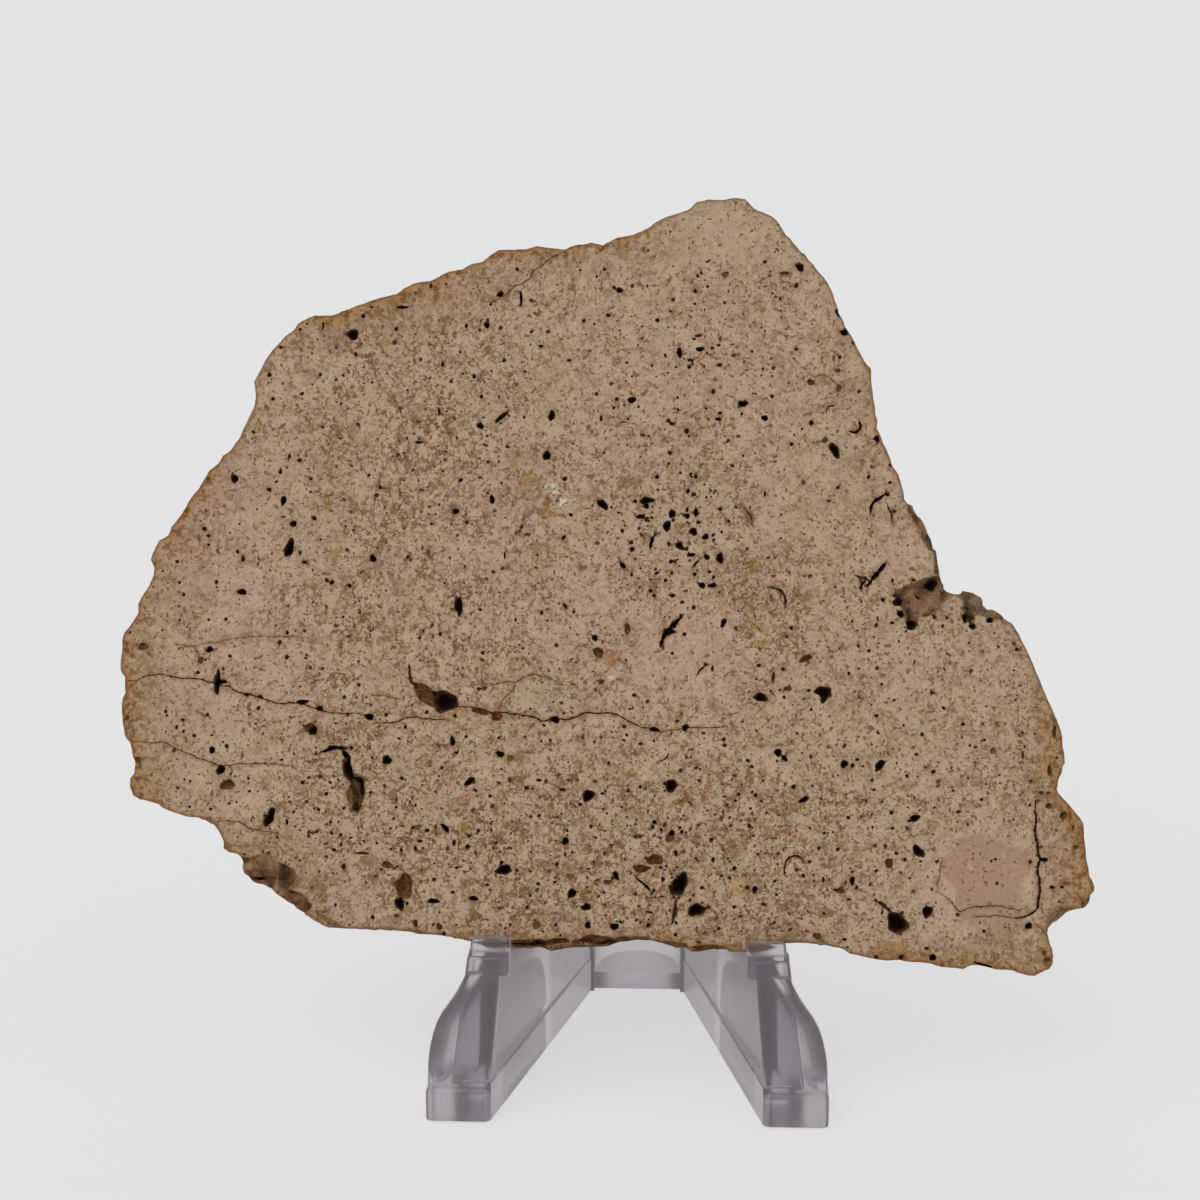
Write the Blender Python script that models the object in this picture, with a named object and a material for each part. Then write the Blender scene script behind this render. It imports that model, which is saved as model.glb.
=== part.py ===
"""A sawn slab of suevite resting on a small clear moulded easel.

Everything is in metres with +Z up. Both pieces are modelled in the easel's own frame, where X = 0 is
its middle, Y = 0 is the front of its feet and Z = 0 is the surface that it stands on. At the end one
parent empty brings the middle of the whole object's base to the origin.
"""

import math

import bmesh
import bpy
from mathutils import Matrix, Vector, noise

MM = 0.001

# The slab: its own plane has U to the right and W up along the sawn face, both in millimetres.
SLAB_THICKNESS = 8.0
SLAB_LEAN = math.radians(18.0)
SLAB_FOOT = Vector((0.0, 6.3, 17.95)) * MM
REST_GAP = 0.3

# Sawn outline of the slab, clockwise from the crack at its left end.
LEFT_END_UP = (
    (-56.4, 29.1), (-56.55, 30.0), (-56.35, 32.0), (-56.45, 32.8), (-56.2, 33.6), (-55.3, 34.8),
    (-54.75, 35.8), (-54.75, 36.8), (-54.4, 37.5), (-53.5, 39.0), (-53.1, 40.0), (-53.05, 40.8),
    (-53.5, 41.7), (-53.1, 42.8), (-52.6, 43.9), (-51.6, 44.5), (-51.2, 45.4), (-50.1, 46.9),
    (-49.1, 48.8), (-48.2, 49.8), (-47.2, 51.7), (-46.2, 52.5), (-45.6, 53.4), (-44.9, 53.8),
    (-44.2, 54.9), (-43.0, 57.0), (-42.4, 58.4), (-42.15, 60.2), (-42.4, 61.6), (-42.0, 62.4),
    (-41.0, 64.4), (-40.3, 65.4), (-39.0, 66.8), (-38.1, 67.5), (-37.7, 68.2), (-36.8, 68.7),
)
TOP_EDGE = (
    (-35.8, 69.1), (-33.6, 69.15), (-32.8, 69.6), (-30.2, 70.6), (-28.6, 71.2), (-26.7, 71.6),
    (-26.0, 72.2), (-24.8, 72.8), (-23.0, 73.1), (-20.8, 74.2), (-19.4, 74.4), (-18.5, 75.0),
    (-17.3, 75.2), (-16.2, 76.1), (-15.5, 76.6), (-12.4, 76.7), (-11.2, 77.05), (-8.0, 76.65),
    (-7.4, 77.05), (-5.2, 77.5), (-3.9, 77.25), (-2.3, 78.05), (-0.4, 78.4), (1.0, 79.0),
    (2.0, 79.8), (3.2, 80.45), (5.8, 81.35), (6.5, 82.1), (7.7, 82.35), (9.2, 82.35),
    (10.8, 82.55), (11.8, 82.45), (12.8, 81.45), (13.3, 81.1), (14.8, 80.55), (15.3, 80.1),
)
RIGHT_SIDE_DOWN = (
    (15.9, 79.2), (17.3, 77.4), (18.1, 76.5), (18.5, 76.3), (18.7, 75.9), (20.0, 74.4),
    (21.1, 73.0), (21.4, 72.3), (22.2, 70.2), (23.0, 68.2), (23.4, 67.7), (23.7, 67.2),
    (24.0, 66.3), (25.0, 64.5), (25.8, 63.7), (25.9, 63.0), (25.95, 61.6), (26.3, 58.8),
    (26.6, 57.7), (26.5, 57.0), (26.9, 56.2), (27.9, 53.8), (28.1, 53.1), (28.9, 51.9),
    (29.1, 51.3), (29.5, 49.8), (30.0, 48.8), (31.0, 48.0), (31.2, 47.5), (32.0, 46.7),
    (32.3, 46.1), (32.6, 44.7), (32.9, 44.1), (33.25, 42.6), (33.35, 42.0), (33.65, 41.3),
    (33.3, 40.7), (33.5, 39.9), (34.2, 39.8), (34.6, 38.9), (34.9, 38.75), (35.3, 38.8),
    (35.9, 39.4), (37.4, 39.35), (37.9, 39.2), (38.7, 38.3), (39.0, 37.8), (40.0, 36.8),
    (40.7, 36.5), (41.2, 36.1), (42.0, 34.9), (42.9, 33.1), (43.6, 31.3), (44.9, 28.2),
    (45.9, 26.0), (46.6, 24.5), (46.75, 23.6), (47.15, 20.6), (46.9, 20.2), (46.75, 19.4),
    (46.4, 18.6), (46.2, 17.8), (46.4, 17.3), (47.6, 16.0), (48.7, 14.8), (49.1, 14.1),
    (49.25, 12.2), (49.45, 10.2), (49.8, 8.4), (50.35, 7.2), (50.3, 6.8), (49.9, 6.3),
    (49.75, 5.6), (49.4, 5.1), (49.0, 4.9), (47.0, 4.75), (46.2, 4.5), (45.4, 3.8),
    (45.25, 2.2), (45.75, 0.6), (45.9, -0.3), (45.85, -1.1), (45.5, -1.7), (45.0, -1.9),
)
BOTTOM_EDGE = (
    (43.9, -2.45), (43.0, -2.4), (41.0, -1.8), (39.2, -1.7), (37.8, -1.4), (37.0, -1.45),
    (36.2, -1.8), (34.0, -1.7), (32.4, -1.3), (28.9, -1.0), (28.0, -1.1), (26.0, -0.8),
    (23.8, -0.3), (23.2, 0.1), (22.4, 0.4), (20.4, 0.65), (18.4, 0.8), (16.8, 0.65),
    (15.0, -0.2), (13.4, -0.45), (10.4, -0.3), (9.2, -0.25), (7.2, -0.5), (5.0, -0.2),
    (3.4, 0.4), (2.4, 0.8), (0.2, 0.8), (-0.8, 0.6), (-2.4, -0.2), (-3.0, -0.5),
    (-6.2, -0.5), (-8.4, -0.75), (-10.6, -0.65), (-13.2, -0.45), (-15.4, -0.3), (-17.3, 0.35),
    (-20.2, 0.8), (-23.4, 1.25), (-26.4, 1.6), (-29.0, 1.4), (-32.8, 1.55), (-33.6, 1.8),
)
LEFT_END_DOWN = (
    (-35.1, 2.75), (-36.2, 3.2), (-36.7, 3.8), (-38.4, 4.9), (-39.1, 5.65), (-40.8, 5.9),
    (-41.9, 6.3), (-42.3, 7.2), (-42.9, 9.35), (-44.1, 9.6), (-44.65, 10.0), (-44.7, 10.8),
    (-45.6, 12.7), (-46.2, 13.2), (-48.8, 13.4), (-51.2, 14.2), (-52.2, 14.95), (-54.0, 15.25),
    (-54.75, 15.7), (-55.15, 16.6), (-55.15, 17.6), (-54.75, 18.2), (-54.65, 19.2),
    (-55.0, 20.4), (-55.25, 21.5), (-55.85, 22.2), (-56.3, 24.8), (-56.2, 26.4), (-55.95, 27.0),
    (-56.0, 28.7),
)
OUTLINE = LEFT_END_UP + TOP_EDGE + RIGHT_SIDE_DOWN + BOTTOM_EDGE + LEFT_END_DOWN

# The broken rim: rings through the thickness, and how much of the rim's own shape each one has.
RIM_RINGS = ((0.0, 0.0), (0.1, 0.5), (0.3, 1.0), (0.55, 1.0), (0.8, 1.0), (1.0, 1.0))
RIM_FALLBACK = 2.2
RIM_ROUGHNESS = 1.0
RIM_WAVE = 7.0
RIM_EASING = 7
RIM_MOST = 0.25
RIM_FRONT_SHARE = 0.15
RIM_SLOW, RIM_ROUGH = 0.5, 2.6
RIM_SEED = Vector((3.1, 0.0, 7.7))
SEAT_HALF_SPAN = 19.0
SEAT_RIM_HEIGHT = 2.0

# Chips broken off the sawn face at the rim: the sawn edge that is left, the closing points outside
# the slab, and the chip's depth in millimetres along the sawn edge and outside.
CHIPS = (
    (((29.7, 49.3), (30.2, 48.2), (30.5, 47.4), (31.4, 46.2), (32.2, 44.7), (32.4, 43.9), (33.1, 42.8)),
     ((35.5, 43.4), (34.0, 47.5), (31.5, 50.5)), 0.2, 1.8),
    (((33.9, 41.2), (32.7, 40.7), (31.6, 40.6), (30.0, 39.9), (28.8, 39.3), (28.5, 38.2), (28.9, 37.6),
      (29.5, 36.8), (29.9, 35.7), (30.3, 35.1), (30.7, 35.0), (31.2, 35.9), (33.2, 36.5), (33.7, 37.5),
      (34.9, 38.5)),
     ((35.1, 39.4), (35.1, 41.6)), 2.4, 3.2),
    (((35.25, 38.3), (35.8, 37.9), (36.1, 36.5), (36.7, 35.6), (37.2, 35.0), (37.4, 36.5), (37.9, 36.85),
      (39.0, 36.4), (39.1, 35.7), (40.2, 35.9), (41.2, 35.1), (42.2, 33.8), (43.0, 32.4)),
     ((44.5, 33.0), (42.5, 37.5), (38.5, 40.6), (35.3, 40.4)), 0.9, 2.4),
    (((-43.6, 9.0), (-42.6, 9.2), (-41.0, 9.0), (-40.3, 8.6), (-39.2, 9.0), (-38.8, 8.0), (-38.6, 6.4),
      (-38.6, 4.4)),
     ((-40.5, 4.2), (-43.6, 6.0)), 0.5, 1.9),
    (((-14.0, -0.2), (-13.0, 0.15), (-11.0, 0.2), (-9.6, 0.7), (-8.0, 0.1), (-5.4, 0.25), (-3.6, -0.1),
      (-2.2, 1.0), (-0.4, 1.45), (1.8, 1.4), (3.6, 0.7), (5.4, 0.1), (7.6, 0.0), (10.0, 0.1), (10.9, -0.3)),
     ((10.9, -1.6), (-14.0, -1.6)), 0.8, 2.2),
)

# Open pits in the sawn face, in millimetres: centre U and W, the two half sizes, the turn of the
# first one in degrees, and the depth.
PITS = (
    (-45.7, 28.2, 0.4, 1.25, 0, 1.2), (-54.0, 32.1, 0.5, 0.5, 0, 0.7), (-44.3, 17.0, 0.8, 0.6, 0, 0.9),
    (-39.6, 13.5, 0.5, 1.0, 20, 1.1), (-31.15, 19.0, 0.5, 1.0, 10, 1.8), (-29.8, 17.1, 0.5, 0.6, 0, 1.6),
    (-29.75, 15.4, 0.35, 0.7, 0, 1.4), (-32.6, 21.1, 0.9, 0.35, 0, 1.4), (-44.3, 50.8, 0.45, 0.45, 0, 0.9),
    (-38.8, 48.4, 0.3, 0.55, 0, 0.9), (-38.05, 43.15, 0.5, 1.0, 25, 1.6), (-43.2, 38.25, 0.6, 0.35, 0, 0.9),
    (-36.2, 26.2, 0.7, 0.3, 0, 0.8), (-46.65, 31.85, 0.45, 0.4, 0, 0.9), (-31.46, 66.96, 0.55, 0.65, 0, 1.3),
    (-16.6, 68.15, 0.4, 0.4, 0, 0.9), (-17.15, 56.9, 0.4, 0.4, 0, 0.9), (-0.45, 59.9, 0.5, 0.35, 0, 0.9),
    (-9.25, 58.1, 0.4, 0.6, 0, 0.9), (11.8, 59.6, 0.6, 0.4, 20, 1.1), (9.1, 57.85, 0.5, 0.3, -20, 0.9),
    (14.2, 58.0, 0.45, 0.35, 0, 0.9), (19.3, 57.5, 0.4, 0.35, 0, 0.9), (17.9, 74.8, 0.55, 0.45, -30, 0.9),
    (9.7, 73.9, 0.5, 0.3, 15, 0.7), (22.9, 67.6, 0.5, 0.35, -30, 0.9), (7.0, 65.6, 0.5, 0.3, 0, 0.9),
    (9.15, 63.85, 0.4, 0.3, 0, 0.8), (21.8, 54.5, 0.4, 0.85, 25, 1.9), (26.55, 55.8, 0.35, 0.45, 0, 0.8),
    (27.7, 49.8, 0.35, 0.35, 0, 0.9), (26.5, 49.0, 0.5, 0.3, 40, 0.9), (26.9, 41.2, 1.2, 0.35, 50, 1.5),
    (18.9, 31.6, 0.75, 0.4, 30, 0.8), (-26.8, 19.95, 0.45, 0.55, 0, 0.9), (-28.8, 24.65, 0.5, 0.4, 0, 1.0),
    (-20.7, 26.4, 1.0, 0.9, 0, 2.2), (-22.6, 27.6, 0.8, 0.35, -25, 1.1), (-19.6, 22.1, 0.32, 0.55, 0, 1.0),
    (-14.35, 20.75, 0.5, 0.38, 0, 1.0), (-17.65, 17.75, 0.65, 0.38, 35, 1.2), (-10.05, 17.95, 0.4, 0.3, 0, 0.8),
    (-4.65, 16.35, 0.7, 0.62, 0, 1.9), (-7.1, 11.35, 0.42, 0.42, 0, 1.1), (-20.3, 12.6, 0.65, 0.3, -40, 0.9),
    (-23.3, 12.65, 0.55, 0.35, 0, 0.8), (-26.5, 8.5, 0.65, 0.4, 20, 0.8), (-13.75, 8.15, 0.9, 0.55, -5, 1.7),
    (-17.0, 5.0, 0.55, 0.3, 0, 0.9), (-21.4, 4.65, 0.62, 0.32, 0, 1.1), (-25.1, 4.3, 0.5, 0.75, 0, 1.6),
    (-6.3, 5.7, 0.6, 0.35, 50, 0.9), (-4.7, 4.25, 0.52, 0.42, 0, 1.1), (-20.7, 1.95, 0.4, 0.4, 0, 0.7),
    (-9.75, 53.65, 0.45, 0.6, 0, 1.1), (-7.7, 51.1, 0.4, 0.35, 0, 0.9), (-3.5, 48.3, 0.7, 0.45, -50, 1.1),
    (-19.2, 36.95, 0.45, 1.05, 5, 1.7), (-28.75, 42.1, 0.4, 0.5, 0, 0.9), (-19.7, 47.4, 0.4, 0.4, 0, 0.9),
    (-4.15, 33.6, 0.35, 0.45, 0, 1.0), (-3.75, 32.0, 0.6, 0.55, 0, 1.0), (-0.6, 34.6, 0.4, 0.6, 0, 0.9),
    (-15.7, 48.75, 0.35, 0.45, 0, 0.8), (1.2, 48.7, 0.7, 0.45, 0, 1.2), (0.7, 47.0, 0.42, 0.28, 0, 0.9),
    (4.15, 47.35, 0.34, 0.46, 0, 1.1), (3.6, 46.0, 0.38, 0.55, 0, 1.1), (6.5, 45.4, 0.4, 0.4, 0, 0.9),
    (5.0, 43.85, 0.42, 0.38, 0, 1.0), (1.9, 44.1, 0.35, 0.8, 10, 1.2), (9.45, 42.5, 0.4, 0.5, 0, 1.1),
    (6.75, 42.0, 0.6, 0.3, 50, 0.9), (7.85, 44.85, 0.35, 0.32, 0, 0.9), (7.5, 39.5, 0.38, 0.35, 0, 0.9),
    (8.65, 39.5, 0.45, 0.28, 0, 0.8), (4.0, 34.45, 1.7, 0.45, 52, 1.8), (9.9, 35.4, 0.5, 0.34, -60, 1.0),
    (15.8, 38.9, 0.8, 0.4, -45, 0.7), (13.9, 27.3, 0.75, 0.5, 0, 1.2), (20.9, 27.7, 1.0, 0.7, 0, 1.9),
    (15.4, 29.5, 0.3, 0.7, 10, 0.9), (2.5, 23.65, 0.6, 0.3, -15, 0.9), (5.85, 23.9, 0.4, 0.4, 0, 0.9),
    (4.4, 17.55, 0.7, 0.65, 0, 1.8), (16.1, 21.2, 0.6, 0.4, -45, 1.1), (23.2, 20.15, 0.5, 0.4, -15, 1.1),
    (27.15, 20.1, 0.75, 0.4, 45, 1.4), (18.85, 16.25, 0.6, 0.34, 35, 1.0), (4.5, 12.4, 0.4, 0.4, 0, 1.0),
    (2.6, 9.5, 0.9, 0.65, 0, 1.2), (0.95, 8.35, 0.75, 0.55, 0, 1.0), (1.6, 6.8, 0.85, 0.32, -42, 1.1),
    (5.4, 6.8, 0.85, 1.3, -20, 2.2), (4.85, 3.5, 0.35, 0.9, -12, 1.2), (7.35, 4.1, 0.9, 0.72, 0, 2.0),
    (-1.6, 7.6, 0.35, 0.6, 35, 0.9), (-1.6, 2.2, 0.5, 0.4, -20, 0.8), (13.6, 6.4, 0.34, 0.48, 0, 1.0),
    (17.4, 9.9, 0.75, 0.35, 35, 0.7), (24.15, 7.5, 0.35, 0.45, 0, 0.8), (20.4, 1.5, 0.5, 0.38, 0, 0.8),
    (31.3, 10.8, 0.95, 0.42, -45, 1.6), (30.9, 14.4, 0.5, 0.42, 0, 1.3), (28.1, 9.5, 0.5, 0.4, 0, 0.7),
    (29.05, 3.0, 1.05, 1.1, 0, 2.4), (27.7, 4.8, 0.9, 0.4, -40, 1.2), (32.25, 4.4, 0.5, 0.7, 0, 1.5),
    (43.2, 2.95, 0.38, 0.42, 0, 1.0), (45.7, 7.15, 0.4, 0.3, 0, 0.8), (47.3, 7.6, 0.45, 0.3, -15, 0.7),
    (44.8, 10.1, 0.5, 0.3, 0, 0.9), (32.9, -0.5, 0.38, 0.42, 0, 0.8), (39.3, 21.8, 0.4, 0.38, 0, 0.8),
    (45.4, 19.7, 0.34, 0.65, 0, 0.8), (46.1, 24.1, 0.34, 0.7, -20, 0.9), (46.5, 15.3, 0.6, 0.38, -40, 0.8),
)
PIT_SEGMENTS = 8
PIT_RINGS = 4
CHIP_START = -1.0

# The easel, in millimetres.
FOOT_INNER, FOOT_OUTER = 14.7, 21.8
FOOT_HEIGHT, FOOT_LENGTH = 3.8, 9.0
FOOT_SOFT_EDGE = 0.8
POST_FOOT_X = (15.2, 19.85)
POST_TOP_X = (13.6, 17.3)
POST_FRONT_Y = (0.5, 2.7)
POST_DEPTH = 4.2
SEAT_W = -0.75
LIP_X = (12.8, 17.0)
LIP_THICKNESS, LIP_BEHIND = 2.8, 2.0
LIP_TOP_W, LIP_BOTTOM_W = 0.9, -3.15
RAIL_HEIGHT, RAIL_WIDTH, RAIL_REAR_WIDTH = 4.3, 3.4, 2.1
RAIL_FRONT, RAIL_REAR = (14.7, 0.6), (5.15, 40.0)
WEB_THICKNESS = 2.0
WEB_FRONT, WEB_REAR = (16.2, 2.0), (6.25, 40.0)
WEB_SIDE = (
    (0.0, -2.0), (1.6, 17.4), (6.0, 18.2), (23.0, 57.0), (24.3, 58.4), (28.6, 58.4), (30.2, 57.4),
    (31.0, 55.4), (33.4, 44.0), (36.2, 34.0), (39.6, 27.0), (42.5, 24.0), (42.5, -2.0),
)
HIP_OUTER = (
    (21.7, 5.6), (21.5, 7.6), (21.1, 9.6), (20.35, 11.4), (19.2, 13.1), (18.1, 14.8), (17.4, 16.4))
HIP_THICKNESS = 1.9
HIP_START, HIP_LENGTH, HIP_SPANS = 1.4, 25.0, 5
HIP_NARROWING, HIP_EASING = 0.85, 1.6
PLATE_THICKNESS = 2.1
PLATE_FRONT_Y = 38.9
WALL_CENTRE_Y = 40.0
WALL_INNER, WALL_OUTER = (5.2, 6.4), (7.25, 8.8)
WALL_HEIGHT = 23.0
WALL_OVERLAP = 2.0
WALL_SIDES = 20
SLAB_SPACE_HALF_WIDTH, SLAB_SPACE_HEIGHT, SLAB_SPACE_SOFT_EDGE = 30.0, 90.0, 0.2
FLOOR_SPACE_X, FLOOR_SPACE_Y, FLOOR_SPACE_DEPTH = (-40.0, 40.0), (-10.0, 70.0), 10.0
UNDERCUT = 2.0
SOFT_EDGE = 0.45


def collection(name):
    """A new collection in the scene."""
    made = bpy.data.collections.new(name)
    bpy.context.scene.collection.children.link(made)
    return made


def principled(name, colour, roughness, transmission=0.0):
    """A material with one Principled BSDF."""
    material = bpy.data.materials.new(name)
    material.use_nodes = True
    shader = material.node_tree.nodes["Principled BSDF"]
    shader.inputs["Base Color"].default_value = (*colour, 1.0)
    shader.inputs["Roughness"].default_value = roughness
    shader.inputs["Metallic"].default_value = 0.0
    shader.inputs["Transmission Weight"].default_value = transmission
    return material


def mesh_object(name, bm, group):
    """An object made from a bmesh, with its faces turned outwards."""
    bmesh.ops.recalc_face_normals(bm, faces=bm.faces)
    mesh = bpy.data.meshes.new(name)
    bm.to_mesh(mesh)
    bm.free()
    made = bpy.data.objects.new(name, mesh)
    group.objects.link(made)
    return made


def as_guide(guide):
    """Mark an object as a cutter or a union piece that isn't a part of its own."""
    guide.hide_render = True
    guide.display_type = "WIRE"
    return guide


def join_with(target, other, operation):
    """Union or cut the target with another object."""
    modifier = target.modifiers.new(f"{operation.lower()} {other.name}", "BOOLEAN")
    modifier.operation = operation
    modifier.solver = "EXACT"
    modifier.object = as_guide(other)
    return modifier


def extruded(bm, outline, low, high, place):
    """Extrude a closed 2D outline from one height to another and place it with a matrix."""
    face = bm.faces.new([bm.verts.new(place @ Vector((x, y, low)) * MM) for x, y in outline])
    lifted = bmesh.ops.extrude_face_region(bm, geom=[face])["geom"]
    rise = place.to_3x3() @ Vector((0.0, 0.0, high - low)) * MM
    bmesh.ops.translate(bm, vec=rise, verts=[v for v in lifted if isinstance(v, bmesh.types.BMVert)])


def outward_normals(points):
    """Unit normals that point out of a clockwise outline."""
    normals = []
    for index in range(len(points)):
        along = (points[(index + 1) % len(points)] - points[index - 1]).normalized()
        normals.append(Vector((-along.y, along.x)))
    return normals


def eased(points, passes):
    """The outline with its small teeth worn off, which the rim behind the sawn face follows."""
    for _ in range(passes):
        count = len(points)
        points = [
            (points[i - 1] + points[i] * 2.0 + points[(i + 1) % count]) / 4.0 for i in range(count)]
    return points


def rim_shift(point, through):
    """How far the broken rim stands out of the eased outline, in millimetres, at one point."""
    place = Vector((point.x, point.y, through * SLAB_THICKNESS)) / RIM_WAVE
    slow = (1.0 + noise.noise(place * RIM_SLOW + RIM_SEED)) / 2.0
    rough = noise.noise(place * RIM_ROUGH)
    resting = point.y < SEAT_RIM_HEIGHT and abs(point.x) < SEAT_HALF_SPAN
    falling = RIM_FALLBACK * slow * (RIM_FRONT_SHARE + through)
    return min((0.0 if resting else RIM_ROUGHNESS * rough) - falling, RIM_MOST)


def slab_blank(group):
    """The sawn slab with its broken rim, before its chips and pits."""
    bm = bmesh.new()
    sawn = [Vector(point) for point in OUTLINE]
    worn = eased(sawn, RIM_EASING)
    normals = outward_normals(worn)
    rings = []
    for through, share in RIM_RINGS:
        depth = through * SLAB_THICKNESS
        ring = []
        for edge, behind, normal in zip(sawn, worn, normals):
            moved = edge.lerp(behind + normal * rim_shift(behind, through), share)
            ring.append(bm.verts.new(Vector((moved.x, depth, moved.y)) * MM))
        rings.append(ring)
    for near, far in zip(rings, rings[1:]):
        for index in range(len(near)):
            bm.faces.new((near[index - 1], near[index], far[index], far[index - 1]))
    bm.faces.new(rings[0])
    bm.faces.new(rings[-1])
    bmesh.ops.triangulate(bm, faces=[f for f in bm.faces if len(f.verts) == 4])
    return mesh_object("suevite_slab", bm, group)


def chip_cutter(group, number, chip):
    """A wedge that breaks the sawn face away between its edge and the rim."""
    edge, outside, edge_depth, outside_depth = chip
    bm = bmesh.new()
    floor = [(u, edge_depth, w) for u, w in edge] + [(u, outside_depth, w) for u, w in outside]
    top = [bm.verts.new(Vector((u, CHIP_START, w)) * MM) for u, _, w in floor]
    bottom = [bm.verts.new(Vector(corner) * MM) for corner in floor]
    for index in range(len(top)):
        bm.faces.new((top[index - 1], top[index], bottom[index], bottom[index - 1]))
    bm.faces.new(top)
    bm.faces.new(bottom)
    bmesh.ops.triangulate(bm, faces=bm.faces)
    return mesh_object(f"chip_cutter_{number}", bm, group)


def pit_cutter(group):
    """All the pits as one mesh of ellipsoids centred on the sawn face."""
    bm = bmesh.new()
    for u, w, half_u, half_w, turn, depth in PITS:
        place = Matrix.Translation(Vector((u, 0.0, w)) * MM)
        place @= Matrix.Rotation(math.radians(-turn), 4, "Y")
        place @= Matrix.Diagonal(Vector((half_u, depth, half_w, 1.0 / MM)) * MM)
        place @= Matrix.Rotation(math.radians(90.0), 4, "X")
        bmesh.ops.create_uvsphere(
            bm, u_segments=PIT_SEGMENTS, v_segments=PIT_RINGS, radius=1.0, matrix=place)
    return mesh_object("pit_cutters", bm, group)


def lean_with_slab(made):
    """Set an object that is modelled in the slab's plane at the slab's place and lean."""
    made.location = SLAB_FOOT
    made.rotation_euler = (-SLAB_LEAN, 0.0, 0.0)
    return made


def suevite_slab(parts, cutters):
    """The whole stone: blank, chips and pits."""
    slab = lean_with_slab(slab_blank(parts))
    for number, chip in enumerate(CHIPS, start=1):
        join_with(slab, lean_with_slab(chip_cutter(cutters, number, chip)), "DIFFERENCE")
    pits = join_with(slab, lean_with_slab(pit_cutter(cutters)), "DIFFERENCE")
    pits.use_self = True
    slab.data.materials.append(principled("suevite", (0.43, 0.33, 0.24), 0.9))
    return slab


def tapered_block(name, group, bottom, top, soften=SOFT_EDGE):
    """A block between two rectangles, each given as (x range, y range, z), with soft edges."""
    bm = bmesh.new()
    bmesh.ops.create_cube(bm, size=1.0)
    for vert in bm.verts:
        x_range, y_range, z = top if vert.co.z > 0 else bottom
        x = max(x_range) if vert.co.x > 0 else min(x_range)
        y = max(y_range) if vert.co.y > 0 else min(y_range)
        vert.co = Vector((x, y, z)) * MM
    if soften:
        bmesh.ops.bevel(bm, geom=bm.edges[:], offset=soften * MM, segments=1, affect="EDGES")
    return mesh_object(name, bm, group)


def foot(group, side):
    """The block under a post."""
    x_range = (side * FOOT_INNER, side * FOOT_OUTER)
    low = (x_range, (0.0, FOOT_LENGTH), -UNDERCUT)
    high = (x_range, (0.0, FOOT_LENGTH), FOOT_HEIGHT)
    return tapered_block("foot", group, low, high, FOOT_SOFT_EDGE)


def post(group, side):
    """The upright that carries a lip, leaning back and inwards."""
    rise = SLAB_FOOT.z / MM
    low = ([side * x for x in POST_FOOT_X], (POST_FRONT_Y[0], POST_FRONT_Y[0] + POST_DEPTH), -UNDERCUT)
    high = ([side * x for x in POST_TOP_X], (POST_FRONT_Y[1], POST_FRONT_Y[1] + POST_DEPTH), rise)
    return tapered_block("post", group, low, high)


def lip(group, side):
    """The hook in front of the slab, square to its lean."""
    x_range = [side * x for x in LIP_X]
    y_range = (-REST_GAP - LIP_THICKNESS, LIP_BEHIND)
    low = (x_range, y_range, LIP_BOTTOM_W)
    high = (x_range, y_range, LIP_TOP_W)
    return lean_with_slab(tapered_block("lip", group, low, high))


def web(group, side):
    """The thin wall from the post to the rear, which rises behind the slab as its backrest."""
    bm = bmesh.new()
    run = Vector((WEB_REAR[0] - WEB_FRONT[0], WEB_REAR[1] - WEB_FRONT[1]))
    along = Vector((side * run.x, run.y, 0.0)).normalized()
    across = Vector((0.0, 0.0, 1.0)).cross(along)
    place = Matrix((
        (along.x, 0.0, -across.x, side * WEB_FRONT[0]),
        (along.y, 0.0, -across.y, WEB_FRONT[1]),
        (0.0, 1.0, 0.0, 0.0),
        (0.0, 0.0, 0.0, 1.0),
    ))
    extruded(bm, WEB_SIDE, -WEB_THICKNESS / 2, WEB_THICKNESS / 2, place)
    return mesh_object("web", bm, group)


def rail(group, side):
    """The base rail under the web."""
    front = Vector(RAIL_FRONT)
    rear = Vector(RAIL_REAR)
    front_width = Vector((RAIL_WIDTH, 0.0))
    rear_width = Vector((RAIL_REAR_WIDTH, 0.0))
    corners = (front, front + front_width, rear + rear_width, rear)
    bm = bmesh.new()
    extruded(bm, [(side * c.x, c.y) for c in corners], -UNDERCUT, RAIL_HEIGHT, Matrix.Identity(4))
    return mesh_object("rail", bm, group)


def hip(group, side):
    """The curved wing outside a post, which shrinks towards the web as it runs back."""
    outer = [(FOOT_OUTER - 0.1, -UNDERCUT)] + list(HIP_OUTER)
    inner = [(x - HIP_THICKNESS, z) for x, z in reversed(outer)]
    section = outer + inner
    slope = (WEB_FRONT[0] - WEB_REAR[0]) / (WEB_REAR[1] - WEB_FRONT[1])
    bm = bmesh.new()
    stations = []
    for step in range(HIP_SPANS + 1):
        share = step / HIP_SPANS
        y = HIP_START + HIP_LENGTH * share
        web_x = WEB_FRONT[0] - slope * (y - WEB_FRONT[1])
        reach = 1.0 - HIP_NARROWING * share ** HIP_EASING
        ring = []
        for x, z in section:
            shifted = web_x + (x - WEB_FRONT[0]) * reach
            ring.append(bm.verts.new(Vector((side * shifted, y, z)) * MM))
        stations.append(ring)
    for near, far in zip(stations, stations[1:]):
        for index in range(len(section)):
            bm.faces.new((near[index - 1], near[index], far[index], far[index - 1]))
    bm.faces.new(stations[0])
    bm.faces.new(stations[-1])
    return mesh_object("hip", bm, group)


def arc(radii, start_y):
    """Half an ellipse behind the rear of the rails, with both ends carried forward to a start."""
    angles = [math.pi * index / WALL_SIDES for index in range(WALL_SIDES + 1)]
    curve = [(radii[0] * math.cos(a), WALL_CENTRE_Y + radii[1] * math.sin(a)) for a in angles]
    return [(radii[0], start_y)] + curve + [(-radii[0], start_y)]


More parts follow.
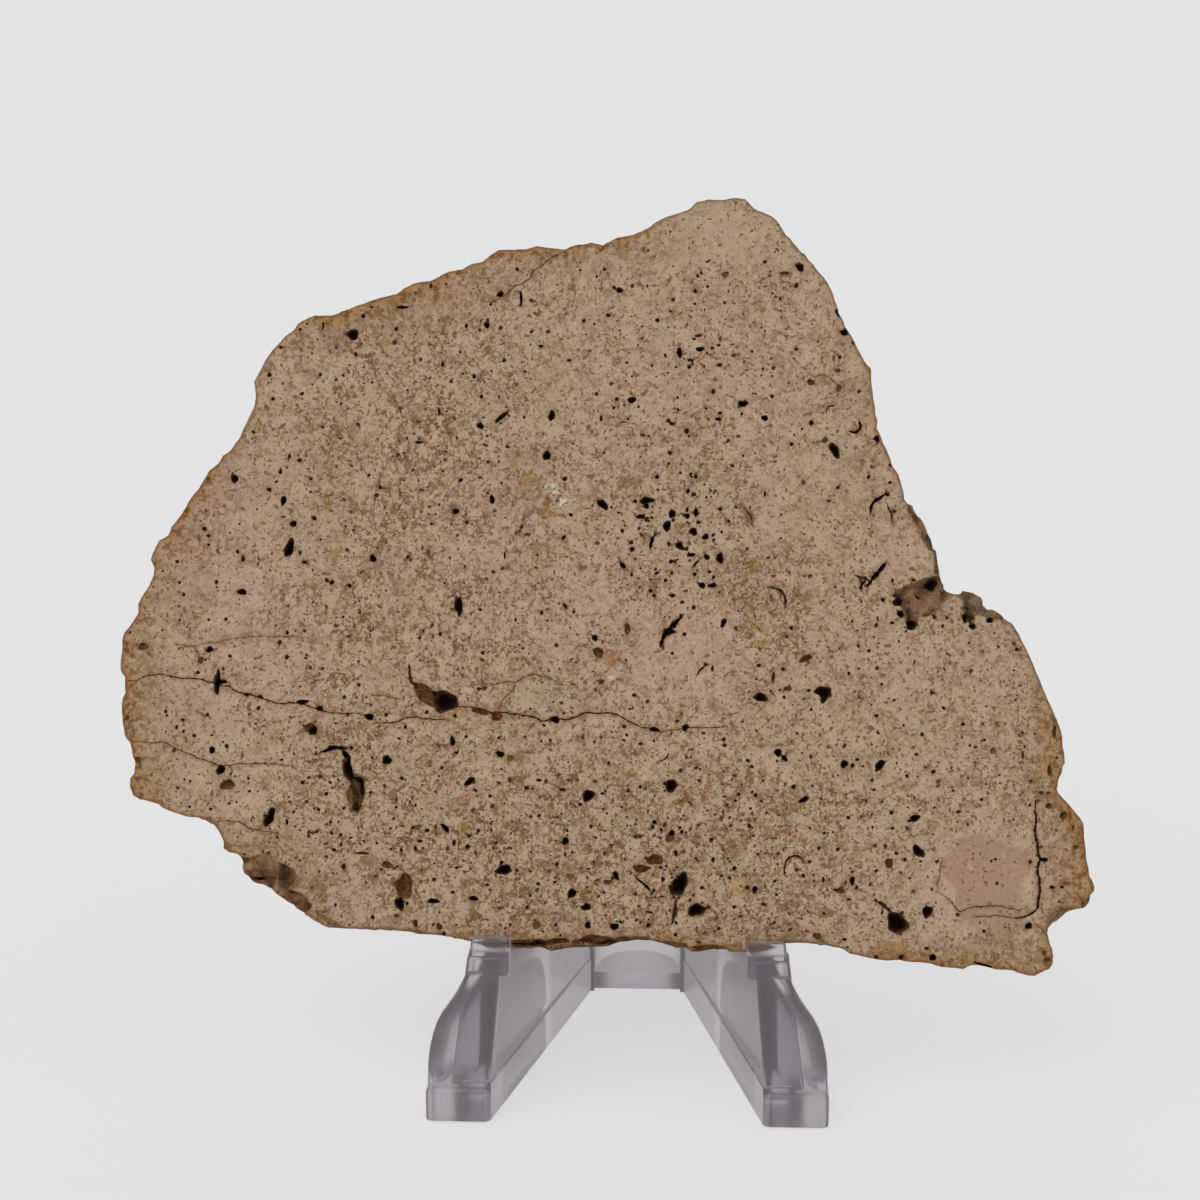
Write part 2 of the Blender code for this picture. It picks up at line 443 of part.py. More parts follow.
def rear_wall(group):
    """The curved wall that joins the two webs behind."""
    start = WALL_CENTRE_Y - WALL_OVERLAP
    outline = arc(WALL_OUTER, start) + arc(WALL_INNER, start)[::-1]
    bm = bmesh.new()
    extruded(bm, outline, -UNDERCUT, WALL_HEIGHT, Matrix.Identity(4))
    return mesh_object("rear_wall", bm, group)


def rear_plate(group):
    """The half-moon floor between the rails' rear ends."""
    middle = [sum(pair) / 2 for pair in zip(WALL_INNER, WALL_OUTER)]
    bm = bmesh.new()
    extruded(bm, arc(middle, PLATE_FRONT_Y), -UNDERCUT, PLATE_THICKNESS, Matrix.Identity(4))
    return mesh_object("display_stand", bm, group)


def slab_space(group):
    """The room that the slab takes between lips, seats and backrests, with its gap."""
    x_range = (-SLAB_SPACE_HALF_WIDTH, SLAB_SPACE_HALF_WIDTH)
    y_range = (-REST_GAP, SLAB_THICKNESS + REST_GAP)
    low = (x_range, y_range, SEAT_W)
    high = (x_range, y_range, SLAB_SPACE_HEIGHT)
    return lean_with_slab(tapered_block("slab_space", group, low, high, SLAB_SPACE_SOFT_EDGE))


def floor_space(group):
    """Everything below the surface that the easel stands on."""
    low = (FLOOR_SPACE_X, FLOOR_SPACE_Y, -FLOOR_SPACE_DEPTH)
    high = (FLOOR_SPACE_X, FLOOR_SPACE_Y, 0.0)
    return tapered_block("floor_space", group, low, high, 0.0)


def display_stand(parts, cutters):
    """The clear easel, joined from its forms and cut for the slab."""
    stand = rear_plate(parts)
    join_with(stand, rear_wall(cutters), "UNION")
    for side in (-1, 1):
        for form in (web, rail, foot, post, lip, hip):
            piece = form(cutters, side)
            piece.name = f"{form.__name__}_{'left' if side < 0 else 'right'}"
            join_with(stand, piece, "UNION")
    join_with(stand, slab_space(cutters), "DIFFERENCE")
    join_with(stand, floor_space(cutters), "DIFFERENCE")
    stand.data.materials.append(principled("clear_plastic", (0.86, 0.84, 0.88), 0.08, 0.95))
    return stand


def world_box(made):
    """Lowest and highest corners of objects as the viewport evaluates them."""
    graph = bpy.context.evaluated_depsgraph_get()
    corners = []
    for item in made:
        shape = item.evaluated_get(graph)
        corners += [item.matrix_world @ vert.co for vert in shape.data.vertices]
    low = Vector([min(c[axis] for c in corners) for axis in range(3)])
    high = Vector([max(c[axis] for c in corners) for axis in range(3)])
    return low, high


def stand_on_origin(made, guides):
    """Parent everything to an empty that brings the middle of the base to the origin."""
    bpy.context.view_layer.update()
    low, high = world_box(made)
    base = bpy.data.objects.new("base", None)
    made[0].users_collection[0].objects.link(base)
    for item in list(made) + list(guides):
        item.parent = base
    base.location = (-(low.x + high.x) / 2, -(low.y + high.y) / 2, -low.z)
    bpy.context.view_layer.update()


def main():
    """Clear the scene and build the slab and its easel."""
    for item in list(bpy.data.objects):
        bpy.data.objects.remove(item, do_unlink=True)
    parts = collection("suevite_on_easel")
    cutters = collection("cutters")
    made = (suevite_slab(parts, cutters), display_stand(parts, cutters))
    stand_on_origin(made, cutters.objects)


main()
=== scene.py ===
"""The looks of a sawn slab of suevite on its small clear moulded easel.

Lengths are millimetres. The easel's own frame has X = 0 at its middle, Y = 0 at the front of its feet
and Z = 0 on the surface that it stands on. The slab's plane has U to the right, W up along the sawn
face and a depth behind it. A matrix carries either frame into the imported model, which is in metres.
"""

import logging
import math
from dataclasses import dataclass, field, replace
from enum import Enum
from typing import Any, Sequence

import bmesh
import bpy
import numpy as np
from mathutils import Matrix, Vector, noise
from mathutils.geometry import delaunay_2d_cdt
from mathutils.kdtree import KDTree


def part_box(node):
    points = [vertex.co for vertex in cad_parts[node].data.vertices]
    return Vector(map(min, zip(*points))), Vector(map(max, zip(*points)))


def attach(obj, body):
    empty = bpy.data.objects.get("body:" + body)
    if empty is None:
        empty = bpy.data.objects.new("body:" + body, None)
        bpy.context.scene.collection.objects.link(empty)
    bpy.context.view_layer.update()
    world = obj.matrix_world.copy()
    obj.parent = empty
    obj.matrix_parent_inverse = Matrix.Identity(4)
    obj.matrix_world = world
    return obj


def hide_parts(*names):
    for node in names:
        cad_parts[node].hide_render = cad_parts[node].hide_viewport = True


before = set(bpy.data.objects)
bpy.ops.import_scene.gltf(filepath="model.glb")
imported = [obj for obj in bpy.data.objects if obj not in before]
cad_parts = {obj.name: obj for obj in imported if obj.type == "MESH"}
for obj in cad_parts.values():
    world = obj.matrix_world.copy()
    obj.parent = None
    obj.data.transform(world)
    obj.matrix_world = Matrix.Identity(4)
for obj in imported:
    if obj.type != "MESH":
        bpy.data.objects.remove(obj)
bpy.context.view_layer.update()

LOG = logging.getLogger("suevite")
MM = 0.001
SLAB_LEAN = math.radians(18.0)
SLAB_FOOT = Vector((0.0, 6.3, 17.95))
SLAB_THICKNESS = 8.0
REST_GAP = 0.3
SOFT_EDGE = 0.3
LIGHT_STEPS = 32
WHITE = (1.0, 1.0, 1.0)
# A spot's uneven outline: the height of each wave and how often it goes round.
SPOT_WAVES = ((0.1, 2), (0.08, 3), (0.06, 5))
# How a slit or crack wanders: where its noise is read, its waves to a millimetre and its reach.
WANDERS = ((0.0, 0.9, 0.14), (5.0, 2.3, 0.1))
ACROSS = Vector((17.3, 41.9, 29.6))
# The map for baking: the face's lower left corner, and the share of the map to a millimetre of each part.
MAP_CORNER = (-57.5, -2.5)
MAP_FRONT = 0.00673
MAP_BACK = 0.0042
MAP_RIM = 0.0067

Point = tuple[float, float]
Line = tuple[Point, ...]
Row = tuple[float, ...]
Tone = tuple[int, int, int]
Face = tuple[np.ndarray, np.ndarray, np.ndarray]

# The corners of the sawn face, clockwise from the left end: U and W of each.
LEFT_END_UP = (
    (-56.4, 29.1), (-56.55, 30.0), (-56.35, 32.0), (-56.45, 32.8), (-56.2, 33.6), (-55.3, 34.8),
    (-54.75, 35.8), (-54.75, 36.8), (-54.4, 37.5), (-53.5, 39.0), (-53.1, 40.0), (-53.05, 40.8),
    (-53.5, 41.7), (-53.1, 42.8), (-52.6, 43.9), (-51.6, 44.5), (-51.2, 45.4), (-50.1, 46.9),
    (-49.1, 48.8), (-48.2, 49.8), (-47.2, 51.7), (-46.2, 52.5), (-45.6, 53.4), (-44.9, 53.8),
    (-44.2, 54.9), (-43.0, 57.0), (-42.4, 58.4), (-42.15, 60.2), (-42.4, 61.6), (-42.0, 62.4),
    (-41.0, 64.4), (-40.3, 65.4), (-39.0, 66.8), (-38.1, 67.5), (-37.7, 68.2), (-36.8, 68.7),
)
TOP_EDGE = (
    (-35.8, 69.1), (-33.6, 69.15), (-32.8, 69.6), (-30.2, 70.6), (-28.6, 71.2), (-26.7, 71.6),
    (-26.0, 72.2), (-24.8, 72.8), (-23.0, 73.1), (-20.8, 74.2), (-19.4, 74.4), (-18.5, 75.0),
    (-17.3, 75.2), (-16.2, 76.1), (-15.5, 76.6), (-12.4, 76.7), (-11.2, 77.05), (-8.0, 76.65),
    (-7.4, 77.05), (-5.2, 77.5), (-3.9, 77.25), (-2.3, 78.05), (-0.4, 78.4), (1.0, 79.0),
    (2.0, 79.8), (3.2, 80.45), (5.8, 81.35), (6.5, 82.1), (7.7, 82.35), (9.2, 82.35),
    (10.8, 82.55), (11.8, 82.45), (12.8, 81.45), (13.3, 81.1), (14.8, 80.55), (15.3, 80.1),
)
RIGHT_SIDE_DOWN = (
    (15.9, 79.2), (17.3, 77.4), (18.1, 76.5), (18.5, 76.3), (18.7, 75.9), (20.0, 74.4),
    (21.1, 73.0), (21.4, 72.3), (22.2, 70.2), (23.0, 68.2), (23.4, 67.7), (23.7, 67.2),
    (24.0, 66.3), (25.0, 64.5), (25.8, 63.7), (25.9, 63.0), (25.95, 61.6), (26.3, 58.8),
    (26.6, 57.7), (26.5, 57.0), (26.9, 56.2), (27.9, 53.8), (28.1, 53.1), (28.9, 51.9),
    (29.1, 51.3), (29.5, 49.8), (30.0, 48.8), (31.0, 48.0), (31.2, 47.5), (32.0, 46.7),
    (32.3, 46.1), (32.6, 44.7), (32.9, 44.1), (33.25, 42.6), (33.35, 42.0), (33.65, 41.3),
    (33.3, 40.7), (33.5, 39.9), (34.2, 39.8), (34.6, 38.9), (34.9, 38.75), (35.3, 38.8),
    (35.9, 39.4), (37.4, 39.35), (37.9, 39.2), (38.7, 38.3), (39.0, 37.8), (40.0, 36.8),
    (40.7, 36.5), (41.2, 36.1), (42.0, 34.9), (42.9, 33.1), (43.6, 31.3), (44.9, 28.2),
    (45.9, 26.0), (46.6, 24.5), (46.75, 23.6), (47.15, 20.6), (46.9, 20.2), (46.75, 19.4),
    (46.4, 18.6), (46.2, 17.8), (46.4, 17.3), (47.6, 16.0), (48.7, 14.8), (49.1, 14.1),
    (49.25, 12.2), (49.45, 10.2), (49.8, 8.4), (50.35, 7.2), (50.3, 6.8), (49.9, 6.3),
    (49.75, 5.6), (49.4, 5.1), (49.0, 4.9), (47.0, 4.75), (46.2, 4.5), (45.4, 3.8),
    (45.25, 2.2), (45.75, 0.6), (45.9, -0.3), (45.85, -1.1), (45.5, -1.7), (45.0, -1.9),
)
BOTTOM_EDGE = (
    (43.9, -2.45), (43.0, -2.4), (41.0, -1.8), (39.2, -1.7), (37.8, -1.4), (37.0, -1.45),
    (36.2, -1.8), (34.0, -1.7), (32.4, -1.3), (28.9, -1.0), (28.0, -1.1), (26.0, -0.8),
    (23.8, -0.3), (23.2, 0.1), (22.4, 0.4), (20.4, 0.65), (18.4, 0.8), (16.8, 0.65),
    (15.0, -0.2), (13.4, -0.45), (10.4, -0.3), (9.2, -0.25), (7.2, -0.5), (5.0, -0.2),
    (3.4, 0.4), (2.4, 0.8), (0.2, 0.8), (-0.8, 0.6), (-2.4, -0.2), (-3.0, -0.5),
    (-6.2, -0.5), (-8.4, -0.75), (-10.6, -0.65), (-13.2, -0.45), (-15.4, -0.3), (-17.3, 0.35),
    (-20.2, 0.8), (-23.4, 1.25), (-26.4, 1.6), (-29.0, 1.4), (-32.8, 1.55), (-33.6, 1.8),
)
LEFT_END_DOWN = (
    (-35.1, 2.75), (-36.2, 3.2), (-36.7, 3.8), (-38.4, 4.9), (-39.1, 5.65), (-40.8, 5.9),
    (-41.9, 6.3), (-42.3, 7.2), (-42.9, 9.35), (-44.1, 9.6), (-44.65, 10.0), (-44.7, 10.8),
    (-45.6, 12.7), (-46.2, 13.2), (-48.8, 13.4), (-51.2, 14.2), (-52.2, 14.95), (-54.0, 15.25),
    (-54.75, 15.7), (-55.15, 16.6), (-55.15, 17.6), (-54.75, 18.2), (-54.65, 19.2),
    (-55.0, 20.4), (-55.25, 21.5), (-55.85, 22.2), (-56.3, 24.8), (-56.2, 26.4), (-55.95, 27.0),
    (-56.0, 28.7),
)
OUTLINE = LEFT_END_UP + TOP_EDGE + RIGHT_SIDE_DOWN + BOTTOM_EDGE + LEFT_END_DOWN


@dataclass(frozen=True)
class Chip:
    """A place where the rim has broken away, with its depth in the face and outside."""

    edge: Line
    outside: Line
    edge_depth: float
    outside_depth: float

    def slope(self) -> float:
        """How wide the step at the inner edge is."""
        return 0.12 + 0.25 * self.edge_depth


# The broken places of the rim: the three of the notch at the right, the lower left corner, the underside.
CHIPS = (
    Chip(((29.3, 49.6), (29.9, 48.4), (30.3, 46.9), (30.8, 46.1), (31.2, 45.2), (31.5, 44.3), (32.2, 43.6),
          (32.6, 43.0), (32.7, 42.0), (32.8, 41.2)),
         ((35.5, 41.4), (35.5, 43.4), (34.0, 47.5), (31.5, 50.5)), 0.5, 1.6),
    Chip(((33.9, 41.2), (32.7, 40.7), (31.6, 40.6), (30.0, 39.9), (28.8, 39.3), (28.5, 38.2), (28.9, 37.6),
          (29.5, 36.8), (29.9, 35.7), (30.3, 35.1), (30.7, 35.0), (31.2, 35.9), (33.2, 36.5), (33.7, 37.5),
          (34.9, 38.5)),
         ((35.1, 39.4), (35.1, 41.6)), 1.1, 1.9),
    Chip(((35.25, 38.3), (35.8, 37.9), (36.1, 36.5), (36.7, 35.6), (37.2, 35.0), (37.4, 36.5), (37.9, 36.85),
          (39.0, 36.4), (39.1, 35.7), (40.2, 35.9), (41.2, 35.1), (42.2, 33.8), (43.0, 32.4)),
         ((44.5, 33.0), (42.5, 37.5), (38.5, 40.6), (35.3, 40.4)), 0.7, 1.5),
    Chip(((-44.4, 9.1), (-42.9, 9.4), (-41.6, 9.2), (-40.4, 9.6), (-39.4, 9.9), (-39.0, 8.9), (-37.6, 8.4),
          (-36.7, 7.6), (-36.6, 6.5), (-37.4, 5.8), (-36.0, 5.4), (-34.9, 4.5), (-34.4, 4.0), (-35.2, 3.2),
          (-35.9, 2.6)),
         ((-40.5, 2.6), (-45.0, 6.0)), 0.35, 1.7),
    Chip(((-14.0, -0.2), (-13.0, 0.15), (-11.0, 0.2), (-9.6, 0.7), (-8.0, 0.1), (-5.4, 0.25), (-3.6, -0.1),
          (-2.2, 1.0), (-0.4, 1.45), (1.8, 1.4), (3.6, 0.7), (5.4, 0.1), (7.6, 0.0), (10.0, 0.1),
          (10.9, -0.3)),
         ((10.9, -1.6), (-14.0, -1.6)), 0.8, 2.2),
)

# Open pits of the sawn face: centre U and W, half size along the turn, half size across it (0 for the
# same), and the turn in degrees.
DARK_PITS = (
    # left end
    (-45.7, 28.2, 0.36, 1.25), (-45.3, 28.3, 0.75, 0.25), (-42.4, 26.9, 0.3), (-40.9, 26.7, 0.3),
    (-36.2, 26.2, 0.7, 0.25), (-34.3, 25.5, 0.35), (-45.1, 18.65, 0.5), (-46.1, 20.8, 0.3, 0.45),
    (-44.5, 21.25, 0.28), (-48.1, 22.35, 0.25), (-49.4, 24.05, 0.25), (-46.7, 24.65, 0.27),
    (-39.6, 13.5, 0.5, 1.0, -20), (-37.65, 13.0, 0.2, 0.4), (-33.4, 16.15, 0.28), (-31.3, 8.25, 0.25, 0.4),
    (-41.1, 6.6, 0.8, 0.2), (-35.0, 23.05, 0.5), (-44.3, 50.8, 0.45), (-38.8, 48.4, 0.3, 0.55),
    (-40.4, 49.6, 0.3), (-37.65, 45.85, 0.36), (-35.35, 46.5, 0.32), (-38.05, 43.15, 0.5, 1.0, -25),
    (-36.3, 41.6, 0.35, 0.25), (-33.25, 39.4, 0.32), (-31.3, 39.05, 0.3), (-43.2, 38.25, 0.6, 0.3),
    (-46.65, 31.85, 0.42, 0.35), (-47.85, 29.3, 0.25), (-44.35, 31.15, 0.25), (-38.25, 53.3, 0.2, 0.4),
    (-37.1, 52.9, 0.3), (-39.2, 51.6, 0.25, 0.35), (-43.75, 42.7, 0.25), (-43.15, 41.9, 0.25, 0.4),
    (-38.05, 31.1, 0.3),
    # upper left
    (-31.46, 66.96, 0.55, 0.65), (-30.35, 69.05, 0.3), (-34.8, 67.9, 0.15, 0.6), (-26.0, 70.05, 0.6, 0.2),
    (-35.0, 62.45, 0.25), (-40.2, 59.7, 0.25), (-16.6, 68.15, 0.35), (-18.85, 68.0, 0.25), (-17.9, 62.4, 0.3),
    (-21.4, 63.7, 0.25, 0.35), (-17.15, 56.9, 0.4, 0.35), (-21.7, 58.4, 0.2, 0.4), (-23.9, 55.0, 0.5, 0.2),
    # top
    (-15.15, 71.6, 0.35), (-12.85, 71.2, 0.15, 0.8), (-1.95, 72.1, 0.35), (-3.15, 69.3, 0.35, 0.25),
    (-5.85, 68.65, 0.2, 0.3), (-10.55, 65.8, 0.38, 0.2), (-7.4, 64.25, 0.3, 0.2), (4.75, 65.2, 0.3, 0.55),
    (-2.15, 59.95, 0.25), (-0.45, 59.9, 0.5, 0.33), (-9.25, 58.1, 0.35, 0.6), (-3.8, 57.8, 0.17, 0.5),
    (8.5, 60.9, 0.25, 0.4), (4.0, 57.3, 0.35, 0.25), (-14.8, 57.9, 0.9, 0.25, 45), (5.85, 64.4, 0.25),
    (17.9, 74.8, 0.55, 0.4, -30), (17.5, 72.7, 0.25, 0.3), (6.4, 72.05, 0.28), (6.8, 67.1, 0.4, 0.22),
    (7.0, 65.6, 0.5, 0.25), (9.05, 66.05, 0.28, 0.2), (9.15, 63.85, 0.35, 0.25), (17.6, 65.65, 0.3, 0.18),
    (24.5, 61.0, 0.25), (11.8, 59.6, 0.5, 0.38), (14.2, 58.0, 0.4, 0.3), (9.1, 57.85, 0.45, 0.22),
    (19.3, 57.5, 0.35, 0.3), (7.8, 75.4, 0.4, 0.15, 30), (16.4, 78.4, 0.2, 0.3), (22.2, 69.7, 0.3, 0.4),
    (22.9, 67.6, 0.45, 0.4), (23.8, 66.4, 0.2, 0.3),
    # right side, down to the notch
    (21.9, 54.5, 0.47, 0.85, 22), (26.5, 55.8, 0.3, 0.4), (27.95, 51.0, 0.22, 0.25), (26.5, 49.1, 0.3),
    (27.7, 49.7, 0.3), (24.9, 39.4, 0.25), (30.6, 40.3, 0.3, 0.2), (28.3, 40.2, 0.2, 0.3),
    (32.4, 39.9, 0.6, 0.7), (31.1, 38.5, 0.15, 0.5, 50), (36.0, 39.3, 0.35, 0.25), (41.75, 32.95, 0.2, 0.3),
    (28.3, 35.6, 0.3, 0.2), (20.9, 27.95, 0.95, 0.6), (20.9, 27.3, 0.4, 0.5), (22.3, 50.4, 0.25),
    (28.9, 37.9, 0.5), (28.6, 38.6, 0.3), (27.3, 38.1, 0.3), (29.2, 36.6, 0.4), (30.4, 35.4, 0.7, 0.5),
    (32.9, 36.3, 0.3), (36.2, 36.2, 0.35, 0.5), (37.0, 35.3, 0.35), (38.9, 36.0, 0.35),
    # lower right
    (26.65, 25.45, 0.25), (27.05, 20.05, 0.75, 0.38, 45), (31.0, 21.3, 0.3, 0.2), (30.9, 14.4, 0.5, 0.4),
    (30.3, 14.1, 0.3, 0.2), (31.3, 10.8, 0.9, 0.4, -42), (32.3, 4.3, 0.5, 0.7), (29.05, 3.0, 1.05, 1.1),
    (43.2, 2.95, 0.35, 0.4), (45.7, 7.15, 0.35, 0.22), (43.35, 9.85, 0.2, 0.3), (38.4, 2.3, 0.3, 0.2),
    (32.9, -0.6, 0.35, 0.4), (32.2, 0.35, 0.3, 0.2), (29.5, -0.6, 0.3), (26.8, -0.6, 0.3, 0.2),
    (38.4, -1.35, 0.9, 0.2, -12), (44.8, 10.1, 0.45, 0.25),
    # lower left
    (-28.8, 24.65, 0.45, 0.4), (-26.8, 19.95, 0.45, 0.55), (-19.6, 22.1, 0.3, 0.5),
    (-14.35, 20.75, 0.45, 0.35), (-17.65, 17.75, 0.6, 0.35, 35), (-17.0, 16.75, 0.3, 0.2, -40),
    (-10.05, 17.95, 0.35, 0.22), (-4.65, 16.35, 0.65, 0.6), (-7.5, 16.95, 0.4, 0.2), (-5.5, 15.4, 0.3, 0.2),
    (-3.1, 16.6, 0.3, 0.18), (-7.1, 11.35, 0.4), (-20.25, 12.6, 0.65, 0.25, -42), (-23.0, 11.15, 0.35, 0.2),
    (-19.25, 11.0, 0.2, 0.5), (-17.75, 10.6, 0.35, 0.3), (-18.9, 8.3, 0.3, 0.18), (-13.75, 8.15, 0.85, 0.5),
    (-15.55, 6.5, 0.28, 0.2), (-19.3, 5.65, 0.3, 0.18), (-17.0, 5.0, 0.55, 0.25), (-21.4, 4.65, 0.6, 0.3),
    (-25.1, 4.3, 0.5, 0.7), (-6.3, 5.7, 0.6, 0.4, 50), (-4.7, 4.25, 0.5, 0.4), (-4.5, 2.3, 0.35),
    (-20.2, 1.1, 0.3, 0.25), (-28.0, 2.8, 0.25, 0.3), (-8.4, 24.6, 0.5, 0.4), (-31.1, 18.9, 0.5, 0.9),
    (-29.8, 17.4, 0.5, 0.6), (-29.7, 15.3, 0.3, 0.6),
    # bottom middle
    (2.5, 23.65, 0.6, 0.25, -15), (5.85, 23.9, 0.35, 0.4), (12.7, 20.4, 0.25), (4.4, 17.55, 0.65),
    (3.8, 17.75, 0.4, 0.25), (16.0, 21.3, 0.45, 0.4), (16.7, 20.7, 0.45, 0.25, -60), (19.55, 20.9, 0.18, 0.3),
    (23.2, 20.15, 0.45, 0.4), (24.1, 20.0, 0.3), (24.6, 20.65, 0.28, 0.22), (17.7, 17.6, 0.33, 0.3),
    (18.85, 16.25, 0.55, 0.3, 35), (4.5, 12.4, 0.35), (5.4, 13.0, 0.3, 0.2, 20), (5.0, 10.2, 0.25, 0.4),
    (3.6, 7.35, 0.22, 0.4), (5.4, 6.8, 0.85, 1.2, -22), (7.3, 4.1, 0.85, 0.7), (11.4, 4.5, 0.28, 0.22),
    (14.6, 4.85, 0.33, 0.2), (13.6, 6.4, 0.28, 0.45), (9.05, 9.55, 0.25, 0.35), (2.2, 3.8, 0.5, 0.15),
    (-1.6, 2.2, 0.45, 0.4), (21.0, 7.6, 0.2, 0.35), (24.15, 7.5, 0.3, 0.45), (23.8, 5.5, 0.35, 0.15),
    (20.5, 11.0, 0.2, 0.3), (-1.5, 7.7, 0.25, 0.6, 30),
    # middle left
    (-9.75, 53.65, 0.4, 0.55), (-7.7, 51.1, 0.35, 0.3), (-3.5, 48.3, 0.7, 0.42, -50),
    (-1.75, 47.4, 0.2, 0.15), (-1.3, 45.4, 0.25, 0.3), (-0.2, 43.4, 0.3, 0.25), (-1.2, 41.6, 0.45, 0.25, -35),
    (-0.2, 40.6, 0.2), (-7.75, 44.6, 0.35, 0.25, 50), (-19.2, 50.85, 0.35, 0.25, 30),
    (-15.7, 48.75, 0.3, 0.45), (-19.7, 47.4, 0.35), (-28.75, 42.1, 0.35, 0.45), (-19.2, 36.95, 0.42, 1.05),
    (-10.05, 36.3, 0.25, 0.3), (-7.45, 37.05, 0.5, 0.2, -60), (-14.2, 42.6, 0.12, 0.6),
    (-4.15, 33.6, 0.3, 0.4), (-20.5, 26.4, 1.45, 1.0, 10), (-21.6, 27.2, 0.5, 0.35, -40),
    # middle right
    (5.65, 56.5, 0.3, 0.35), (17.15, 55.15, 0.25, 0.3), (10.7, 52.7, 0.3, 0.2, -40), (2.45, 51.4, 0.25),
    (6.7, 51.5, 0.28, 0.3), (5.85, 49.85, 0.22, 0.28), (14.3, 49.6, 0.18, 0.35), (9.4, 47.9, 0.25, 0.2),
    (1.2, 48.8, 0.55, 0.35), (1.3, 48.2, 0.3), (1.9, 48.8, 0.35, 0.2), (0.7, 47.0, 0.4, 0.25),
    (1.9, 46.9, 0.2, 0.15), (4.15, 47.35, 0.32, 0.45), (3.6, 46.0, 0.35, 0.55), (5.8, 47.1, 0.25, 0.3),
    (5.8, 47.8, 0.18, 0.25), (6.75, 47.5, 0.2, 0.45), (6.5, 45.4, 0.38), (7.85, 44.85, 0.3),
    (5.0, 43.85, 0.4, 0.35), (5.8, 43.5, 0.15, 0.25), (6.3, 42.85, 0.45, 0.18), (8.0, 42.6, 0.28),
    (9.45, 42.5, 0.38, 0.5), (4.1, 42.1, 0.2), (4.8, 42.3, 0.12), (5.0, 41.6, 0.12), (2.4, 41.2, 0.2, 0.12),
    (3.5, 40.0, 0.18, 0.22), (7.5, 39.5, 0.33), (8.65, 39.5, 0.45, 0.25), (8.3, 41.0, 0.25, 0.15),
    (8.75, 40.4, 0.15, 0.25), (6.7, 40.7, 0.2), (4.3, 38.35, 0.28, 0.22), (2.25, 38.3, 0.25, 0.15),
    (1.9, 38.85, 0.25, 0.18), (4.0, 34.4, 0.65, 0.32), (9.9, 35.4, 0.5, 0.3, 60), (8.75, 30.4, 0.22, 0.35),
    (16.45, 30.4, 0.3, 0.25), (14.05, 27.3, 0.75, 0.45),
)
BROWN_PITS = (
    (44.5, 17.3, 0.3), (45.3, 17.3, 0.3, 0.2), (44.1, 16.4, 0.3), (45.3, 15.9, 0.4, 0.3),
    (46.9, 14.9, 0.4, 0.5), (-22.5, 26.9, 1.5, 0.75, -28), (-23.2, 27.9, 0.9, 0.45, -10),
    (-14.8, 24.9, 0.7, 0.5), (-16.6, 25.4, 1.1, 0.35, -12),
    (-44.3, 17.0, 0.8, 0.6), (-50.3, 20.7, 0.3), (-54.3, 19.6, 0.4), (-55.6, 24.2, 0.3), (-54.0, 32.1, 0.5),
    (22.2, 63.3, 0.35, 0.25), (19.2, 62.0, 0.4), (22.3, 61.4, 0.3, 0.4), (11.4, 59.2, 0.3, 0.2),
    (14.6, 73.8, 0.22), (28.4, 47.8, 0.35, 0.25), (18.5, 50.9, 0.3), (21.3, 48.9, 0.35, 0.18),
    (24.8, 40.3, 0.3), (18.9, 31.6, 0.7, 0.4, 30), (41.4, 33.7, 0.3), (33.4, 18.4, 0.3), (28.1, 9.5, 0.5),
    (49.0, 5.4, 0.3), (45.2, -0.7, 0.4, 0.3), (43.4, 18.55, 0.4, 0.2), (42.5, 21.4, 0.15, 0.6),
    (42.7, 22.3, 0.2), (45.4, 19.7, 0.3, 0.6), (45.9, 24.0, 0.25, 0.7), (48.25, 11.5, 0.3),
    (-3.9, 17.9, 0.3, 0.2), (-29.3, 9.75, 0.75, 0.2), (-25.4, 3.0, 0.3), (-2.4, 7.0, 0.5, 0.25),
    (-23.3, 2.2, 0.25, 0.5), (-20.7, 1.9, 0.35, 0.4), (-24.6, 6.2, 0.9, 1.5, 10), (3.75, 13.3, 0.3),
    (4.3, 11.9, 0.5), (5.8, 10.4, 0.3), (2.7, 9.5, 0.85, 0.65), (1.2, 8.5, 0.8, 0.5), (8.6, 4.4, 0.35, 0.25),
    (6.95, 5.7, 0.2, 0.3), (3.5, 5.5, 0.4, 0.15), (20.4, 1.5, 0.5, 0.4), (12.1, 3.5, 0.35, 0.2),
    (7.6, 0.6, 0.3, 0.2), (-11.7, 44.9, 0.45, 0.2), (-23.5, 49.7, 0.35, 0.2), (-14.4, 41.1, 0.25),
    (-3.75, 32.0, 0.6), (-0.6, 34.6, 0.4, 0.6), (-16.5, 31.05, 0.3, 0.2), (0.8, 56.0, 0.35, 0.25),
    (0.7, 39.2, 0.2), (17.0, 28.3, 0.45, 0.35), (15.4, 29.5, 0.2, 0.7), (-22.4, 27.7, 0.55, 0.3, -25),
    (-35.4, 23.4, 0.6, 0.5),
    # ledges of the broken lower edge
    (-11.2, 0.1, 2.2, 0.45), (-7.9, 0.4, 1.4, 0.4, 8), (-3.2, 0.6, 2.0, 0.6), (-5.6, 0.3, 0.8, 0.3),
    (1.6, 0.8, 1.7, 0.5, -6), (4.9, 0.2, 1.5, 0.4, -10), (8.6, 0.0, 1.8, 0.35),
)
